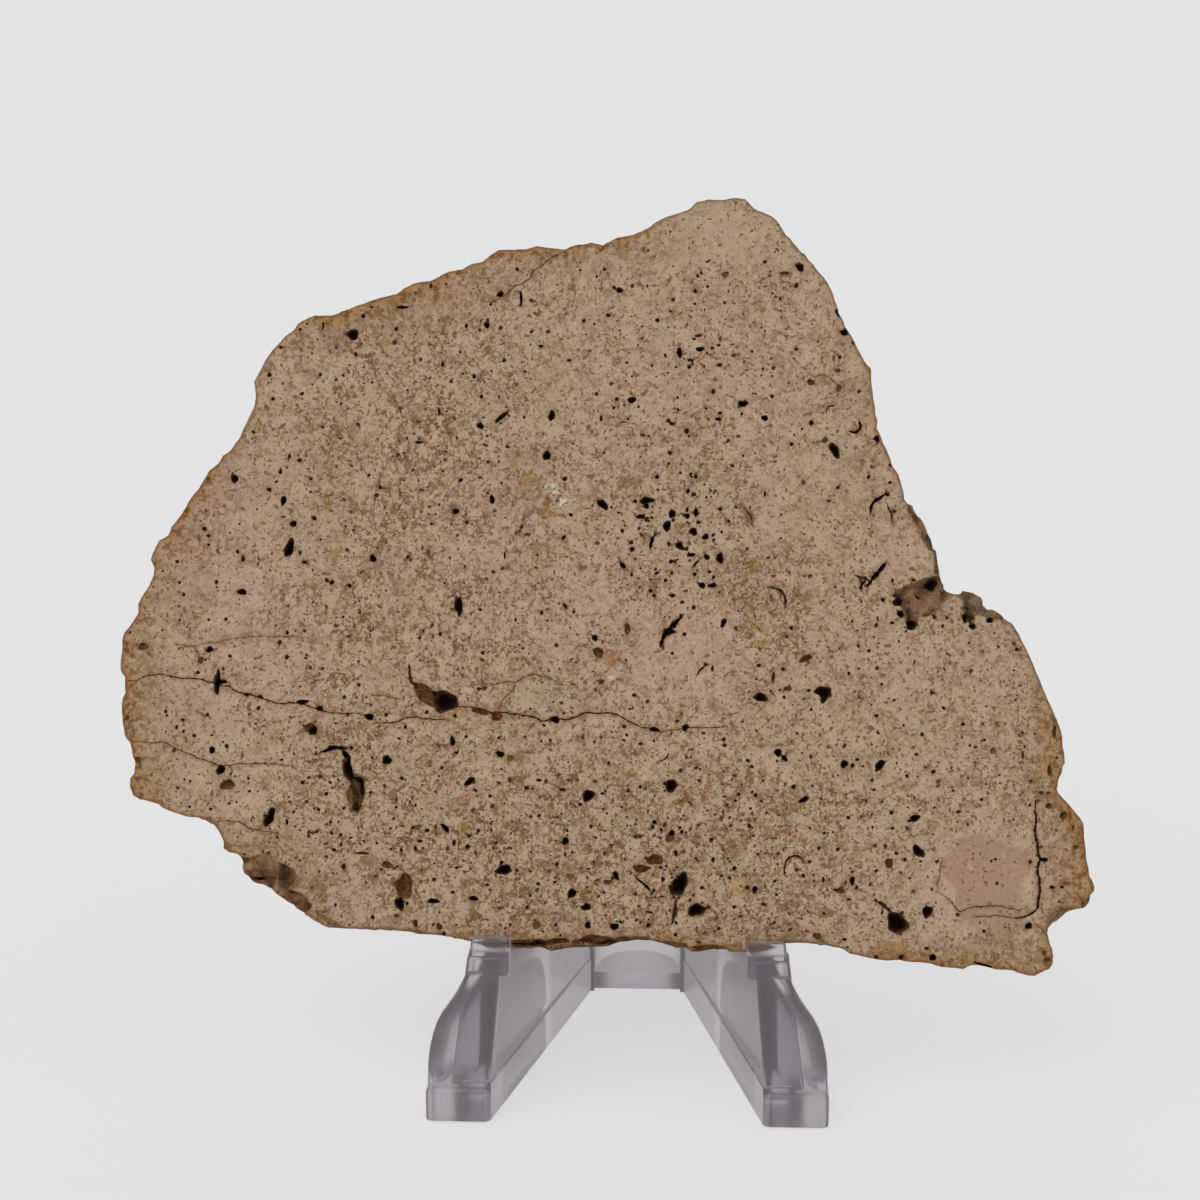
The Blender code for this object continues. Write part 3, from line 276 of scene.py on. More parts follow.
OLIVE_PITS = (
    (-47.55, 30.65, 0.3, 0.45), (9.7, 73.9, 0.5, 0.3, 15), (16.2, 74.1, 0.6, 0.2), (21.7, 64.7, 0.15, 0.5),
    (20.8, 55.6, 0.35), (30.8, 6.5, 0.35, 0.25), (47.3, 7.6, 0.45, 0.25), (39.7, 24.7, 0.25, 0.35),
    (39.3, 21.8, 0.4, 0.35), (-13.2, 20.3, 0.4), (-23.3, 12.65, 0.5, 0.3), (-26.5, 8.5, 0.65, 0.4),
    (-6.5, 7.5, 0.4), (-10.1, 2.2, 0.4, 0.5), (-30.5, 16.0, 0.6, 1.2), (22.9, 6.5, 0.45, 0.4),
    (8.3, 1.6, 0.4, 0.25), (-12.95, 45.05, 0.22, 0.3), (-22.6, 42.7, 0.25, 0.45), (-3.4, 28.8, 0.4, 0.3),
    (11.3, 34.8, 0.25, 0.35), (15.1, 38.1, 0.25, 0.4),
)

# Open slits: the middle line and the half width.
DARK_SLITS = (
    (((-31.6, 20.9), (-31.0, 20.2), (-31.2, 19.0), (-30.9, 18.2), (-30.3, 17.7), (-29.6, 17.3),
      (-29.5, 16.4), (-29.7, 15.4), (-30.1, 14.5)), 0.5),
    (((-33.9, 20.8), (-32.7, 21.2), (-31.5, 21.1)), 0.32),
    (((24.5, 57.8), (24.7, 57.2), (24.5, 56.7), (24.1, 56.4), (23.4, 56.7)), 0.19),
    (((25.9, 47.6), (25.9, 48.4), (26.1, 48.8), (26.5, 49.1), (27.1, 49.4), (27.6, 49.8)), 0.23),
    (((27.5, 42.1), (27.0, 41.4), (26.5, 40.8), (26.1, 40.2), (25.6, 39.8)), 0.32),
    (((25.4, 40.2), (25.0, 39.8), (24.7, 39.4)), 0.17),
    (((3.4, 20.3), (3.7, 20.5), (4.0, 20.9)), 0.14), (((0.9, 7.4), (1.4, 7.0), (1.9, 6.5), (2.3, 6.1)), 0.2),
    (((2.3, 44.9), (1.9, 44.2), (1.8, 43.5)), 0.22), (((7.3, 42.3), (6.7, 41.8), (6.5, 41.5)), 0.15),
    (((5.3, 36.0), (4.7, 35.5), (4.2, 35.0), (3.9, 34.5), (3.5, 34.0), (3.2, 33.3), (3.1, 32.8)), 0.36),
    (((7.9, 30.7), (7.2, 30.0)), 0.16),
)
BROWN_SLITS = (
    (((-30.6, 17.9), (-30.1, 17.0), (-30.0, 16.0), (-29.9, 15.2), (-30.1, 14.4)), 0.6),
    (((26.9, 5.4), (27.8, 4.8), (28.4, 4.2)), 0.28), (((5.0, 5.0), (5.1, 4.4), (4.8, 3.4), (4.7, 2.8)), 0.25),
    (((15.2, 39.3), (16.0, 39.2), (16.5, 38.6), (16.6, 38.0), (16.6, 37.2)), 0.2),
    (((16.9, 8.0), (16.8, 8.8), (16.9, 9.6), (17.4, 10.0), (18.2, 10.2), (18.6, 10.0), (18.7, 9.6)), 0.15),
    (((25.8, 40.2), (25.2, 40.5), (24.3, 40.6)), 0.18), (((27.7, 48.5), (28.2, 47.5), (28.3, 46.5)), 0.13),
    (((20.9, 58.7), (21.2, 59.4), (21.9, 59.5)), 0.12), (((12.2, 48.0), (12.8, 47.2), (12.9, 46.3)), 0.14),
    (((-22.4, 27.9), (-23.4, 28.2), (-24.3, 28.3), (-24.5, 29.4), (-24.5, 30.4)), 0.22),
)
# Hairline cracks in the sawn face: the half width and the line.
CRACKS = (
    (0.11, ((-55.9, 28.2), (-54.7, 28.3), (-53.6, 28.9), (-52.0, 29.1), (-50.0, 28.7), (-47.5, 28.6),
            (-45.7, 28.0), (-44.4, 27.8), (-43.4, 27.1), (-42.2, 27.0), (-40.8, 26.6), (-39.2, 26.0),
            (-37.4, 26.05), (-35.8, 25.9), (-34.8, 25.5), (-34.0, 25.2), (-32.0, 25.0), (-30.0, 24.95),
            (-28.8, 24.7))),
    (0.1, ((-28.3, 24.1), (-27.4, 23.95), (-26.4, 23.95), (-25.6, 24.1), (-25.2, 24.5), (-24.5, 24.6),
           (-23.8, 24.7), (-21.8, 24.45), (-20.0, 24.4))),
    (0.13, ((-19.5, 25.9), (-18.6, 26.0), (-17.6, 25.8), (-16.8, 25.65), (-16.2, 25.4), (-15.0, 25.25),
            (-13.9, 25.2), (-12.4, 25.1), (-11.4, 24.9), (-10.6, 24.7), (-9.9, 24.4), (-9.2, 24.5),
            (-8.4, 24.7), (-7.2, 24.6), (-6.2, 24.9), (-5.2, 25.3), (-4.6, 25.5), (-3.4, 25.4),
            (-2.4, 25.4), (-1.5, 25.2), (-0.5, 24.7), (0.3, 24.2), (1.9, 23.8), (3.2, 23.4))),
    (0.07, ((3.2, 23.4), (4.5, 23.6), (5.85, 23.9), (8.4, 23.9), (10.2, 24.1))),
    (0.06, ((-28.5, 27.1), (-27.0, 27.0), (-26.0, 26.8), (-25.2, 26.6))),
    (0.07, ((-16.6, 30.0), (-16.5, 29.0), (-16.4, 28.5), (-15.6, 28.4), (-14.6, 28.5), (-13.6, 28.6),
            (-12.9, 28.7), (-12.2, 29.0), (-11.6, 29.3), (-10.8, 29.6), (-10.0, 29.3), (-9.2, 29.2),
            (-8.0, 28.6), (-7.0, 28.3))),
    (0.06, ((-12.8, 28.4), (-13.2, 27.6), (-13.8, 27.0), (-14.4, 26.4), (-14.6, 25.7))),
    (0.06, ((-10.6, 24.2), (-11.2, 23.4))),
    (0.08, ((-54.9, 21.6), (-52.8, 21.5), (-51.4, 21.6), (-50.0, 20.8), (-48.0, 20.1), (-46.0, 19.3),
            (-45.0, 19.0), (-43.2, 19.3), (-41.0, 19.4), (-37.0, 19.2))),
    (0.07, ((-45.3, 13.0), (-44.0, 13.1), (-42.8, 12.9), (-42.0, 12.4), (-40.8, 12.0), (-38.8, 11.9))),
    (0.05, ((-50.4, 32.4), (-48.8, 32.1), (-47.2, 32.5), (-45.2, 32.9), (-43.0, 33.3), (-36.0, 33.4))),
    (0.08, ((-8.0, 76.4), (-8.9, 76.05), (-10.0, 75.35), (-10.8, 74.6), (-11.6, 74.2), (-11.8, 73.4),
            (-12.4, 73.0), (-13.4, 72.5), (-14.2, 71.9), (-15.0, 71.2), (-16.0, 70.7), (-17.2, 70.85))),
    (0.2, ((43.8, 16.6), (43.85, 15.8), (44.0, 14.9), (43.95, 14.1), (43.8, 13.3), (43.85, 12.5),
            (44.1, 11.6), (44.2, 10.8), (44.4, 10.2), (44.15, 9.6), (44.1, 8.8), (44.3, 8.0),
            (44.35, 7.2), (44.4, 6.5), (44.3, 5.8), (44.2, 5.1), (43.9, 4.6), (43.3, 4.1), (42.6, 3.8),
            (42.0, 3.8))),
    (0.07, ((44.3, 5.4), (44.6, 4.8), (44.8, 4.2))),
    (0.08, ((34.0, 6.1), (34.5, 5.7), (35.0, 5.2), (35.4, 4.7), (35.8, 4.4), (36.6, 4.7), (37.6, 5.0),
            (38.8, 5.1), (40.2, 5.05), (41.2, 4.8), (42.2, 4.6), (42.9, 5.0))),
    (0.07, ((37.2, 3.9), (40.0, 3.9), (42.0, 3.8), (42.8, 3.8))),
    (0.06, ((33.8, 9.8), (33.6, 8.8), (33.5, 8.0), (33.3, 7.3), (33.4, 6.9))),
    (0.07, ((44.0, 3.1), (44.5, 2.7), (44.9, 2.2))),
    (0.07, ((-28.1, 51.5), (-28.2, 50.4), (-28.0, 49.8), (-27.2, 49.8))),
    (0.06, ((19.2, 62.4), (20.5, 62.9), (21.2, 62.6), (22.2, 61.6), (22.1, 60.5), (20.8, 60.2))),
)


class Grain(Enum):
    """Colours of the rock fragments and stains in the sawn face, as screen values; UMBER in the lower left
    chip is partly painted shade.
    """

    PINK = (154, 124, 104)
    ROSE = (168, 114, 96)
    PALE = (205, 196, 178)
    ORANGE = (154, 109, 66)
    OCHRE = (152, 119, 66)
    OLIVE = (125, 112, 74)
    GREENISH = (166, 152, 124)
    GREY = (132, 124, 110)
    SLATE = (84, 78, 72)
    TAN = (172, 138, 100)
    BROWN = (112, 78, 48)
    UMBER = (56, 34, 18)


# Fragments and stains: centre U and W, half size along the turn, half size across it, turn in degrees.
GRAINS: dict[Grain, tuple[Row, ...]] = {
    Grain.PINK: (
        (38.6, 8.2, 5.2, 4.2), (40.0, 2.6, 3.0, 1.4), (-33.2, 66.2, 1.8),
        (23.0, 61.5, 1.2, 0.8), (-33.6, 6.4, 1.1), (-14.0, 6.6, 0.8, 0.4), (-36.0, 62.4, 1.0),
    ),
    Grain.ROSE: (
        (-18.0, 16.1, 0.95, 0.5), (16.9, 10.7, 0.5, 0.2), (17.0, 12.7, 1.3, 0.5),
    ),
    Grain.PALE: (
        (-8.0, 48.5, 0.7, 0.5), (-9.0, 50.0, 1.0, 0.6), (-2.3, 29.4, 0.35), (13.2, 58.3, 0.3),
    ),
    Grain.ORANGE: (
        (-9.9, 47.6, 0.7, 1.2), (-12.5, 53.7, 0.7, 0.5), (-11.8, 50.8, 1.3, 0.6), (8.4, 17.3, 0.4),
        (5.1, 15.8, 0.6, 0.4), (28.5, 0.0, 2.6, 1.0), (47.6, 14.6, 0.8, 2.6, 20), (-2.2, 31.2, 0.9, 0.8),
    ),
    Grain.OCHRE: (
        (-13.4, 52.6, 0.5), (-17.2, 44.0, 0.4), (-4.5, 5.8, 0.9), (-18.3, 12.6, 0.8, 0.7), (12.5, 18.5, 0.3),
        (14.6, 19.0, 0.2, 0.9), (10.3, 19.2, 0.15, 0.6), (-17.8, 23.2, 0.6, 0.4), (13.0, 41.8, 0.5, 0.9),
        (12.2, 40.5, 0.4), (14.2, 33.2, 1.1, 0.5), (4.7, 45.8, 0.5, 0.7), (8.7, 43.6, 0.4, 0.3),
        (7.7, 54.6, 0.3, 0.5), (9.4, 38.6, 0.5, 0.4), (-33.6, 54.8, 0.4, 1.0), (-33.8, 48.2, 0.5, 1.2),
        (-33.1, 42.3, 0.6), (-41.8, 56.7, 0.4, 1.0), (-22.5, 72.4, 0.5, 0.6), (-18.2, 74.5, 1.4, 0.5),
        (-35.0, 68.4, 1.5, 0.4), (-25.5, 65.5, 0.4), (-27.9, 66.0, 0.5), (-0.4, 65.5, 1.6, 0.2),
        (36.5, -0.8, 1.2, 0.6), (45.2, 0.2, 0.5, 0.8), (-3.3, 13.0, 0.25, 1.0, -20), (0.0, 18.8, 0.7, 0.5),
        (-13.6, 13.0, 0.2, 0.7), (-22.6, 42.7, 0.25, 0.45),
    ),
    Grain.OLIVE: (
        (17.6, 2.0, 1.0, 1.1), (13.9, 2.0, 0.5, 0.6), (7.3, 9.7, 0.6, 0.5), (24.5, 11.0, 0.5, 0.4),
        (19.0, 38.4, 0.8, 0.7), (-11.0, 6.0, 0.9, 0.4), (-17.5, 6.8, 0.9, 0.5, 30), (-12.2, 20.2, 0.5, 0.9),
        (-28.5, 8.9, 1.0, 0.7), (-47.5, 30.6, 0.3, 0.4),
    ),
    Grain.GREENISH: (
        (-9.0, 27.0, 3.6, 1.7), (-0.2, 13.0, 2.0, 1.8), (25.1, 16.7, 0.8, 0.9), (-15.7, 23.4, 0.5),
        (-21.5, 7.2, 0.5, 0.6),
    ),
    Grain.GREY: (
        (-7.75, 3.2, 0.65, 0.75), (8.8, 13.0, 0.5), (-6.0, 13.5, 0.6, 0.5), (-8.0, 13.6, 0.6, 0.4),
        (-21.4, 21.4, 0.6, 0.4), (-13.4, 25.0, 0.7, 0.6), (7.3, 11.6, 0.7), (18.8, 6.5, 0.5, 0.9),
    ),
    Grain.SLATE: ((37.3, 38.5, 2.3, 1.6, -35),),
    Grain.TAN: (
        (-16.4, 30.2, 1.7, 0.6, -55), (-14.4, 24.9, 1.5, 0.7, -10), (-19.4, 25.3, 1.6, 0.8),
        (11.5, 10.5, 1.3, 0.6), (12.0, 7.0, 1.0, 1.6), (16.5, 16.0, 0.8, 0.5), (-12.5, 14.6, 0.5, 0.4),
        (13.0, 35.5, 1.3), (-15.6, 21.6, 0.6, 0.3), (-19.0, 14.7, 1.1, 0.5),
    ),
    Grain.BROWN: (
        (21.3, 4.0, 1.0, 0.6), (-28.0, 7.1, 0.7, 0.5), (-26.0, 16.0, 0.6, 0.9), (-26.5, 47.5, 0.4, 0.5),
        (-34.5, 23.0, 0.8, 0.8), (32.2, 38.2, 2.0, 1.5), (12.5, 47.1, 0.5, 0.9),
    ),
    # The patches near (-37, 6) lie in the lower left chip, which faces away from the light: their dark umber
    # is partly painted shade of that broken corner over its brown.
    Grain.UMBER: (
        (-39.6, 8.0, 1.4, 0.5, -35), (-36.9, 5.3, 1.8, 0.45, -38), (-32.7, 2.3, 2.2, 0.4, -32),
        (32.4, 39.9, 1.2, 0.8), (-37.3, 6.8, 1.2, 1.3), (-36.2, 4.5, 1.2, 0.35),
    ),
}

# Soft zones of the face: centre U and W, half sizes, and how strong the zone is there.
SMOOTH_ZONES = (
    (4.0, 66.0, 12.0, 9.0, 0.25),
    (-48.0, 40.0, 9.0, 14.0, 0.45), (-40.0, 47.0, 6.0, 9.0, 0.35), (8.5, 78.0, 7.5, 4.0, 0.8),
    (38.6, 8.2, 6.4, 5.0, 1.4), (7.0, 32.0, 5.0, 5.0, 0.6), (34.0, 26.0, 9.0, 7.0, 0.15),
    (27.0, 46.0, 6.0, 8.0, 0.25), (-46.0, 20.0, 8.0, 6.0, 0.4), (20.0, 56.0, 6.0, 12.0, 0.3),
)
SPECKLED_ZONES = (
    (-26.0, 55.0, 9.0, 14.0, 0.5), (-10.0, 10.0, 20.0, 9.0, 0.7), (12.0, 10.0, 14.0, 9.0, 0.55),
    (-24.0, 35.0, 12.0, 8.0, 0.4), (-30.0, 20.0, 8.0, 8.0, 0.5),
    (-24.0, 52.5, 2.2, 1.8, 0.9), (38.0, 16.0, 8.0, 6.0, 0.35), (15.0, 38.0, 5.0, 5.0, 0.5),
)
WEATHERED_ZONES = (
    (-57.0, 28.0, 5.0, 16.0, 1.0), (-50.0, 50.0, 5.0, 12.0, 0.9), (-30.0, 72.0, 14.0, 5.0, 1.0),
    (-10.0, 78.0, 12.0, 4.0, 0.9), (49.0, 10.0, 4.0, 10.0, 1.0), (40.0, -1.0, 12.0, 2.5, 0.8),
    (0.0, 0.0, 16.0, 2.2, 0.7), (-40.0, 7.0, 8.0, 5.0, 0.8), (27.0, 62.0, 3.0, 14.0, 0.35),
    (46.0, 22.0, 3.0, 8.0, 0.9), (13.0, 39.0, 3.5, 4.5, 0.5), (-33.5, 49.0, 2.2, 9.0, 0.45),
    (-12.0, 51.5, 3.0, 3.0, 0.5), (-22.5, 71.0, 6.0, 3.0, 0.6), (-55.0, 18.0, 4.0, 5.0, 1.0),
)
PINK_ZONES = (
    (6.7, 32.6, 5.5, 4.5, 1.6),
    (-46.0, 42.0, 9.0, 14.0, 0.9), (-5.0, 35.0, 14.0, 9.0, 0.6), (8.0, 62.0, 14.0, 12.0, 0.5),
    (38.6, 8.2, 6.0, 5.0, 0.7), (-8.0, 46.0, 9.0, 9.0, 0.4),
)
DENSE_PIT_ZONES = (
    (4.5, 44.5, 5.5, 7.0, 1.0), (32.0, 27.0, 10.0, 9.0, 0.3), (-46.0, 32.0, 9.0, 14.0, 0.2),
    (6.0, 66.0, 9.0, 9.0, 0.5), (-30.0, 15.0, 20.0, 9.0, 0.45),
    (5.0, 12.0, 22.0, 12.0, 0.6), (36.0, 14.0, 10.0, 10.0, 0.3), (-22.0, 55.0, 10.0, 10.0, 0.3),
)


def linear(colour: Sequence[float]) -> Row:
    """A colour of screen values from 0 to 255 as linear light."""
    shares = [value / 255.0 for value in colour]
    return tuple(s / 12.92 if s <= 0.04045 else ((s + 0.055) / 1.055) ** 2.4 for s in shares)


class Value:
    """A node's output socket that takes part in arithmetic."""

    def __init__(self, recipe: "Recipe", source: bpy.types.Node, output: str | int) -> None:
        """Keep the recipe, the node and which of its outputs is meant.

        Args:
            recipe: The recipe that owns the node.
            source: The node.
            output: The output's name or place.
        """
        self.recipe = recipe
        self.source = source
        self.output = output

    @property
    def socket(self) -> bpy.types.NodeSocket:
        """The socket itself."""
        return self.source.outputs[self.output]

    def _math(self, operation: str, first: Any, second: Any) -> "Value":
        """One Math node on two values."""
        return self.recipe.node("ShaderNodeMath", {"operation": operation}, {0: first, 1: second})

    def __add__(self, other: Any) -> "Value":
        """This value plus another."""
        return self._math("ADD", self, other)

    def __radd__(self, other: Any) -> "Value":
        """Another value plus this one."""
        return self._math("ADD", other, self)

    def __sub__(self, other: Any) -> "Value":
        """This value less another."""
        return self._math("SUBTRACT", self, other)

    def __rsub__(self, other: Any) -> "Value":
        """Another value less this one."""
        return self._math("SUBTRACT", other, self)

    def __mul__(self, other: Any) -> "Value":
        """This value times another."""
        return self._math("MULTIPLY", self, other)

    def __rmul__(self, other: Any) -> "Value":
        """Another value times this one."""
        return self._math("MULTIPLY", other, self)

    def __abs__(self) -> "Value":
        """This value without its sign."""
        return self.recipe.node("ShaderNodeMath", {"operation": "ABSOLUTE"}, {0: self})

    def most(self, other: Any) -> "Value":
        """The larger of this value and another."""
        return self._math("MAXIMUM", self, other)

    def ramp(self, low: float, high: float, start: float = 0.0, end: float = 1.0) -> "Value":
        """An eased step from start to end while this value goes from low to high."""
        limits = {0: self, 1: low, 2: high, 3: start, 4: end}
        return self.recipe.node("ShaderNodeMapRange", {"interpolation_type": "SMOOTHSTEP"}, limits)


class Recipe:
    """The node tree of one finish."""

    def __init__(self, name: str) -> None:
        """Start a material with an empty tree.

        Args:
            name: The material's name.
        """
        self.material = bpy.data.materials.new(name)
        self.material.use_nodes = True
        self.tree = self.material.node_tree
        self.tree.nodes.clear()

    def node(
        self, kind: str, settings: dict[str, Any] | None = None,
        inputs: dict[str | int, Any] | None = None, output: str | int = 0,
    ) -> Value:
        """Add one node.

        Args:
            kind: The node's type.
            settings: Its properties, which are set first.
            inputs: Values or links of its sockets, by name or place.
            output: The output socket that is wanted.

        Returns:
            The output as a value.
        """
        made = self.tree.nodes.new(kind)
        for name, setting in (settings or {}).items():
            setattr(made, name, setting)
        for place, given in (inputs or {}).items():
            if isinstance(given, Value):
                self.tree.links.new(given.socket, made.inputs[place])
            else:
                made.inputs[place].default_value = given
        return Value(self, made, output)

    def attribute(self, name: str, output: str = "Color") -> Value:
        """A named attribute of the mesh."""
        return self.node("ShaderNodeAttribute", {"attribute_name": name}, output=output)

    def mix(self, share: Any, first: Any, second: Any) -> Value:
        """Two colours mixed.

        Args:
            share: How much of the second colour.
            first: The colour beneath.
            second: The colour above.

        Returns:
            The mixed colour.
        """
        under, over = (given if isinstance(given, Value) else (*given, 1.0) for given in (first, second))
        return self.node("ShaderNodeMix", {"data_type": "RGBA"}, {0: share, 6: under, 7: over}, output=2)

    def moved(self, place: Value, shift: Any, factor: float = 1.0) -> Value:
        """A place scaled by a factor and moved by a shift."""
        inputs = {0: place, 1: (factor, factor, factor), 2: shift}
        return self.node("ShaderNodeVectorMath", {"operation": "MULTIPLY_ADD"}, inputs)

    def noise(
        self, place: Value, scale: float, detail: float = 2.0, output: str = "Fac", **more: float,
    ) -> Value:
        """Noise at a place.

        Args:
            place: The place.
            scale: Waves to a millimetre.
            detail: How many finer waves are added.
            output: The output socket that is wanted.
            more: Roughness or distortion.

        Returns:
            The noise, about 0.5 on average.
        """
        sockets = {"Vector": place, "Scale": scale, "Detail": detail}
        sockets |= {name.capitalize(): amount for name, amount in more.items()}
        return self.node("ShaderNodeTexNoise", None, sockets, output=output)

    def cells(self, place: Value, scale: float, output: str = "Distance") -> Value:
        """Scattered round cells, with their scale in cells to a millimetre."""
        return self.node("ShaderNodeTexVoronoi", None, {"Vector": place, "Scale": scale}, output=output)

    def lot(self, place: Value, scale: float, output: int) -> Value:
        """The random number of the nearest cell."""
        tone = self.cells(place, scale, "Color")
        return self.node("ShaderNodeSeparateColor", None, {0: tone}, output=output)

    def shaded(self, colour: Value, shade: Value) -> Value:
        """A colour made lighter or darker by a value."""
        threefold = self.node("ShaderNodeCombineXYZ", None, {0: shade, 1: shade, 2: shade})
        return self.node("ShaderNodeVectorMath", {"operation": "MULTIPLY"}, {0: colour, 1: threefold})

    def finish(self, **shaders: Value) -> bpy.types.Material:
        """Close the tree with its output, by the names of its sockets, and give the material."""
        self.node("ShaderNodeOutputMaterial", None, shaders)
        return self.material


class LiningAndShade(Enum):
    """The colour inside a hollow, as screen values: BROWN and OLIVE are its lining, while DARK, and less so
    UMBER, are partly painted shade of the deep hole over its own dark filling.
    """

    DARK = (24, 10, 2)
    UMBER = (60, 38, 18)
    BROWN = (100, 70, 38)
    OLIVE = (108, 84, 44)


def turned_left(along: np.ndarray) -> np.ndarray:
    """Unit vectors at a left turn to some directions."""
    along = along / np.linalg.norm(along, axis=1, keepdims=True)
    return np.stack([-along[:, 1], along[:, 0]], axis=1)


def closed_normals(points: np.ndarray) -> np.ndarray:
    """Unit normals that point out of a clockwise outline."""
    return turned_left(np.roll(points, -1, axis=0) - np.roll(points, 1, axis=0))


def open_normals(line: np.ndarray) -> np.ndarray:
    """Unit normals to the left of an open line."""
    return turned_left(np.gradient(line, axis=0))


def eased(points: np.ndarray, passes: int) -> np.ndarray:
    """Wear the small teeth off a closed outline.

    Args:
        points: The outline's corners.
        passes: How often each corner moves towards its neighbours.

    Returns:
        The worn outline.
    """
    for _ in range(passes):
        points = (np.roll(points, 1, axis=0) + 2.0 * points + np.roll(points, -1, axis=0)) / 4.0
    return points


def fractal(points: np.ndarray, wave: float, octaves: int, seed: float) -> np.ndarray:
    """Fractal noise between about -1 and 1.

    Args:
        points: Places in millimetres, three numbers each.
        wave: The longest wave in millimetres.
        octaves: How many halvings of the wave are summed.
        seed: Moves the pattern.

    Returns:
        One number for each place.
    """
    return np.array([noise.fractal(Vector(p), 1.0, 2.0, octaves) for p in points / wave + seed])


def wandering(place: Vector) -> Point:
    """A shift in U and W that changes slowly with a place."""
    return noise.noise(place), noise.noise(place + ACROSS)


def line_distance(points: np.ndarray, line: np.ndarray) -> np.ndarray:
    """The distance from each point to the nearest part of an open line.

    Args:
        points: Places in the face.
        line: The line's corners.

    Returns:
        One distance for each place.
    """
    nearest = np.full(len(points), np.inf)
    for start, end in zip(line, line[1:]):
        run = end - start
        share = np.clip(((points - start) @ run) / max(run @ run, 1e-12), 0.0, 1.0)
        away = points - start - share[:, None] * run
        nearest = np.minimum(nearest, np.hypot(away[:, 0], away[:, 1]))
    return nearest


def inside(points: np.ndarray, polygon: np.ndarray) -> np.ndarray:
    """Whether each point is inside a closed polygon.

    Args:
        points: Places in the face.
        polygon: The polygon's corners.

    Returns:
        True or False for each place.
    """
    within = np.zeros(len(points), dtype=bool)
    for start, end in zip(polygon, np.roll(polygon, -1, axis=0)):
        rise = end[1] - start[1]
        if not rise:
            continue
        spans = (start[1] > points[:, 1]) != (end[1] > points[:, 1])
        cross = start[0] + (points[:, 1] - start[1]) / rise * (end[0] - start[0])
        within ^= spans & (points[:, 0] < cross)
    return within


def smooth_step(values: np.ndarray) -> np.ndarray:
    """An eased step from 0 to 1 while the values go from 0 to 1."""
    held = np.clip(values, 0.0, 1.0)
    return held * held * (3.0 - 2.0 * held)


@dataclass(frozen=True)
class Spot:
    """A roughly elliptical mark on the face, with a wobbling outline."""

    u: float
    w: float
    along: float
    across: float
    turn: float
    phases: tuple[float, float, float]
    wobble: float = 1.0

    @classmethod
    def from_row(cls, row: Sequence[float], chance: np.random.Generator, wobble: float = 1.0) -> "Spot":
        """A spot from a row of three to five numbers.

        Args:
            row: Centre, half size along, half size across and turn in degrees.
            chance: Draws the outline's phases.
            wobble: How uneven the outline is.

        Returns:
            The spot.
        """
        u, w, along, across, turn = (*row, 0.0, 0.0)[:5]
        phases = tuple(chance.uniform(0.0, math.tau, 3))
        return cls(u, w, along, across or along, math.radians(turn), phases, wobble)

    def size(self) -> float:
        """The mean half size."""
        return math.sqrt(self.along * self.across)

    def window(self, reach: float) -> tuple[float, float, float, float]:
        """The lowest and highest U, then W, that a share of the outline reaches."""
        far = max(self.along, self.across) * reach * (1.0 + 0.3 * self.wobble)
        return self.u - far, self.u + far, self.w - far, self.w + far

    def _uneven(self, angle: np.ndarray) -> np.ndarray:
        """The outline's uneven radius by angle."""
        waves = [size * np.sin(count * angle + at) for (size, count), at in zip(SPOT_WAVES, self.phases)]
        return 1.0 + self.wobble * (waves[0] + waves[1] + waves[2])

    def share(self, points: np.ndarray) -> np.ndarray:
        """How far out some points are.

        Args:
            points: Places in the face.

        Returns:
            0 at the centre, 1 on the outline and more outside.
        """
        away = points - (self.u, self.w)
        turn_cos, turn_sin = math.cos(self.turn), math.sin(self.turn)
        x = (away[:, 0] * turn_cos + away[:, 1] * turn_sin) / self.along
        y = (away[:, 1] * turn_cos - away[:, 0] * turn_sin) / self.across
        return np.hypot(x, y) / self._uneven(np.arctan2(y, x))

    def loop(self, share: float, step: float) -> np.ndarray:
        """Points round the spot.

        Args:
            share: The share of the outline that they follow.
            step: Their spacing.

        Returns:
            The points.
        """
        count = max(6, int(round(math.tau * self.size() * share / step)))
        angle = np.arange(count) * math.tau / count
        radius = share * self._uneven(angle)
        x, y = radius * np.cos(angle) * self.along, radius * np.sin(angle) * self.across
        turn_cos, turn_sin = math.cos(self.turn), math.sin(self.turn)
        return np.stack([self.u + x * turn_cos - y * turn_sin, self.w + x * turn_sin + y * turn_cos], axis=1)


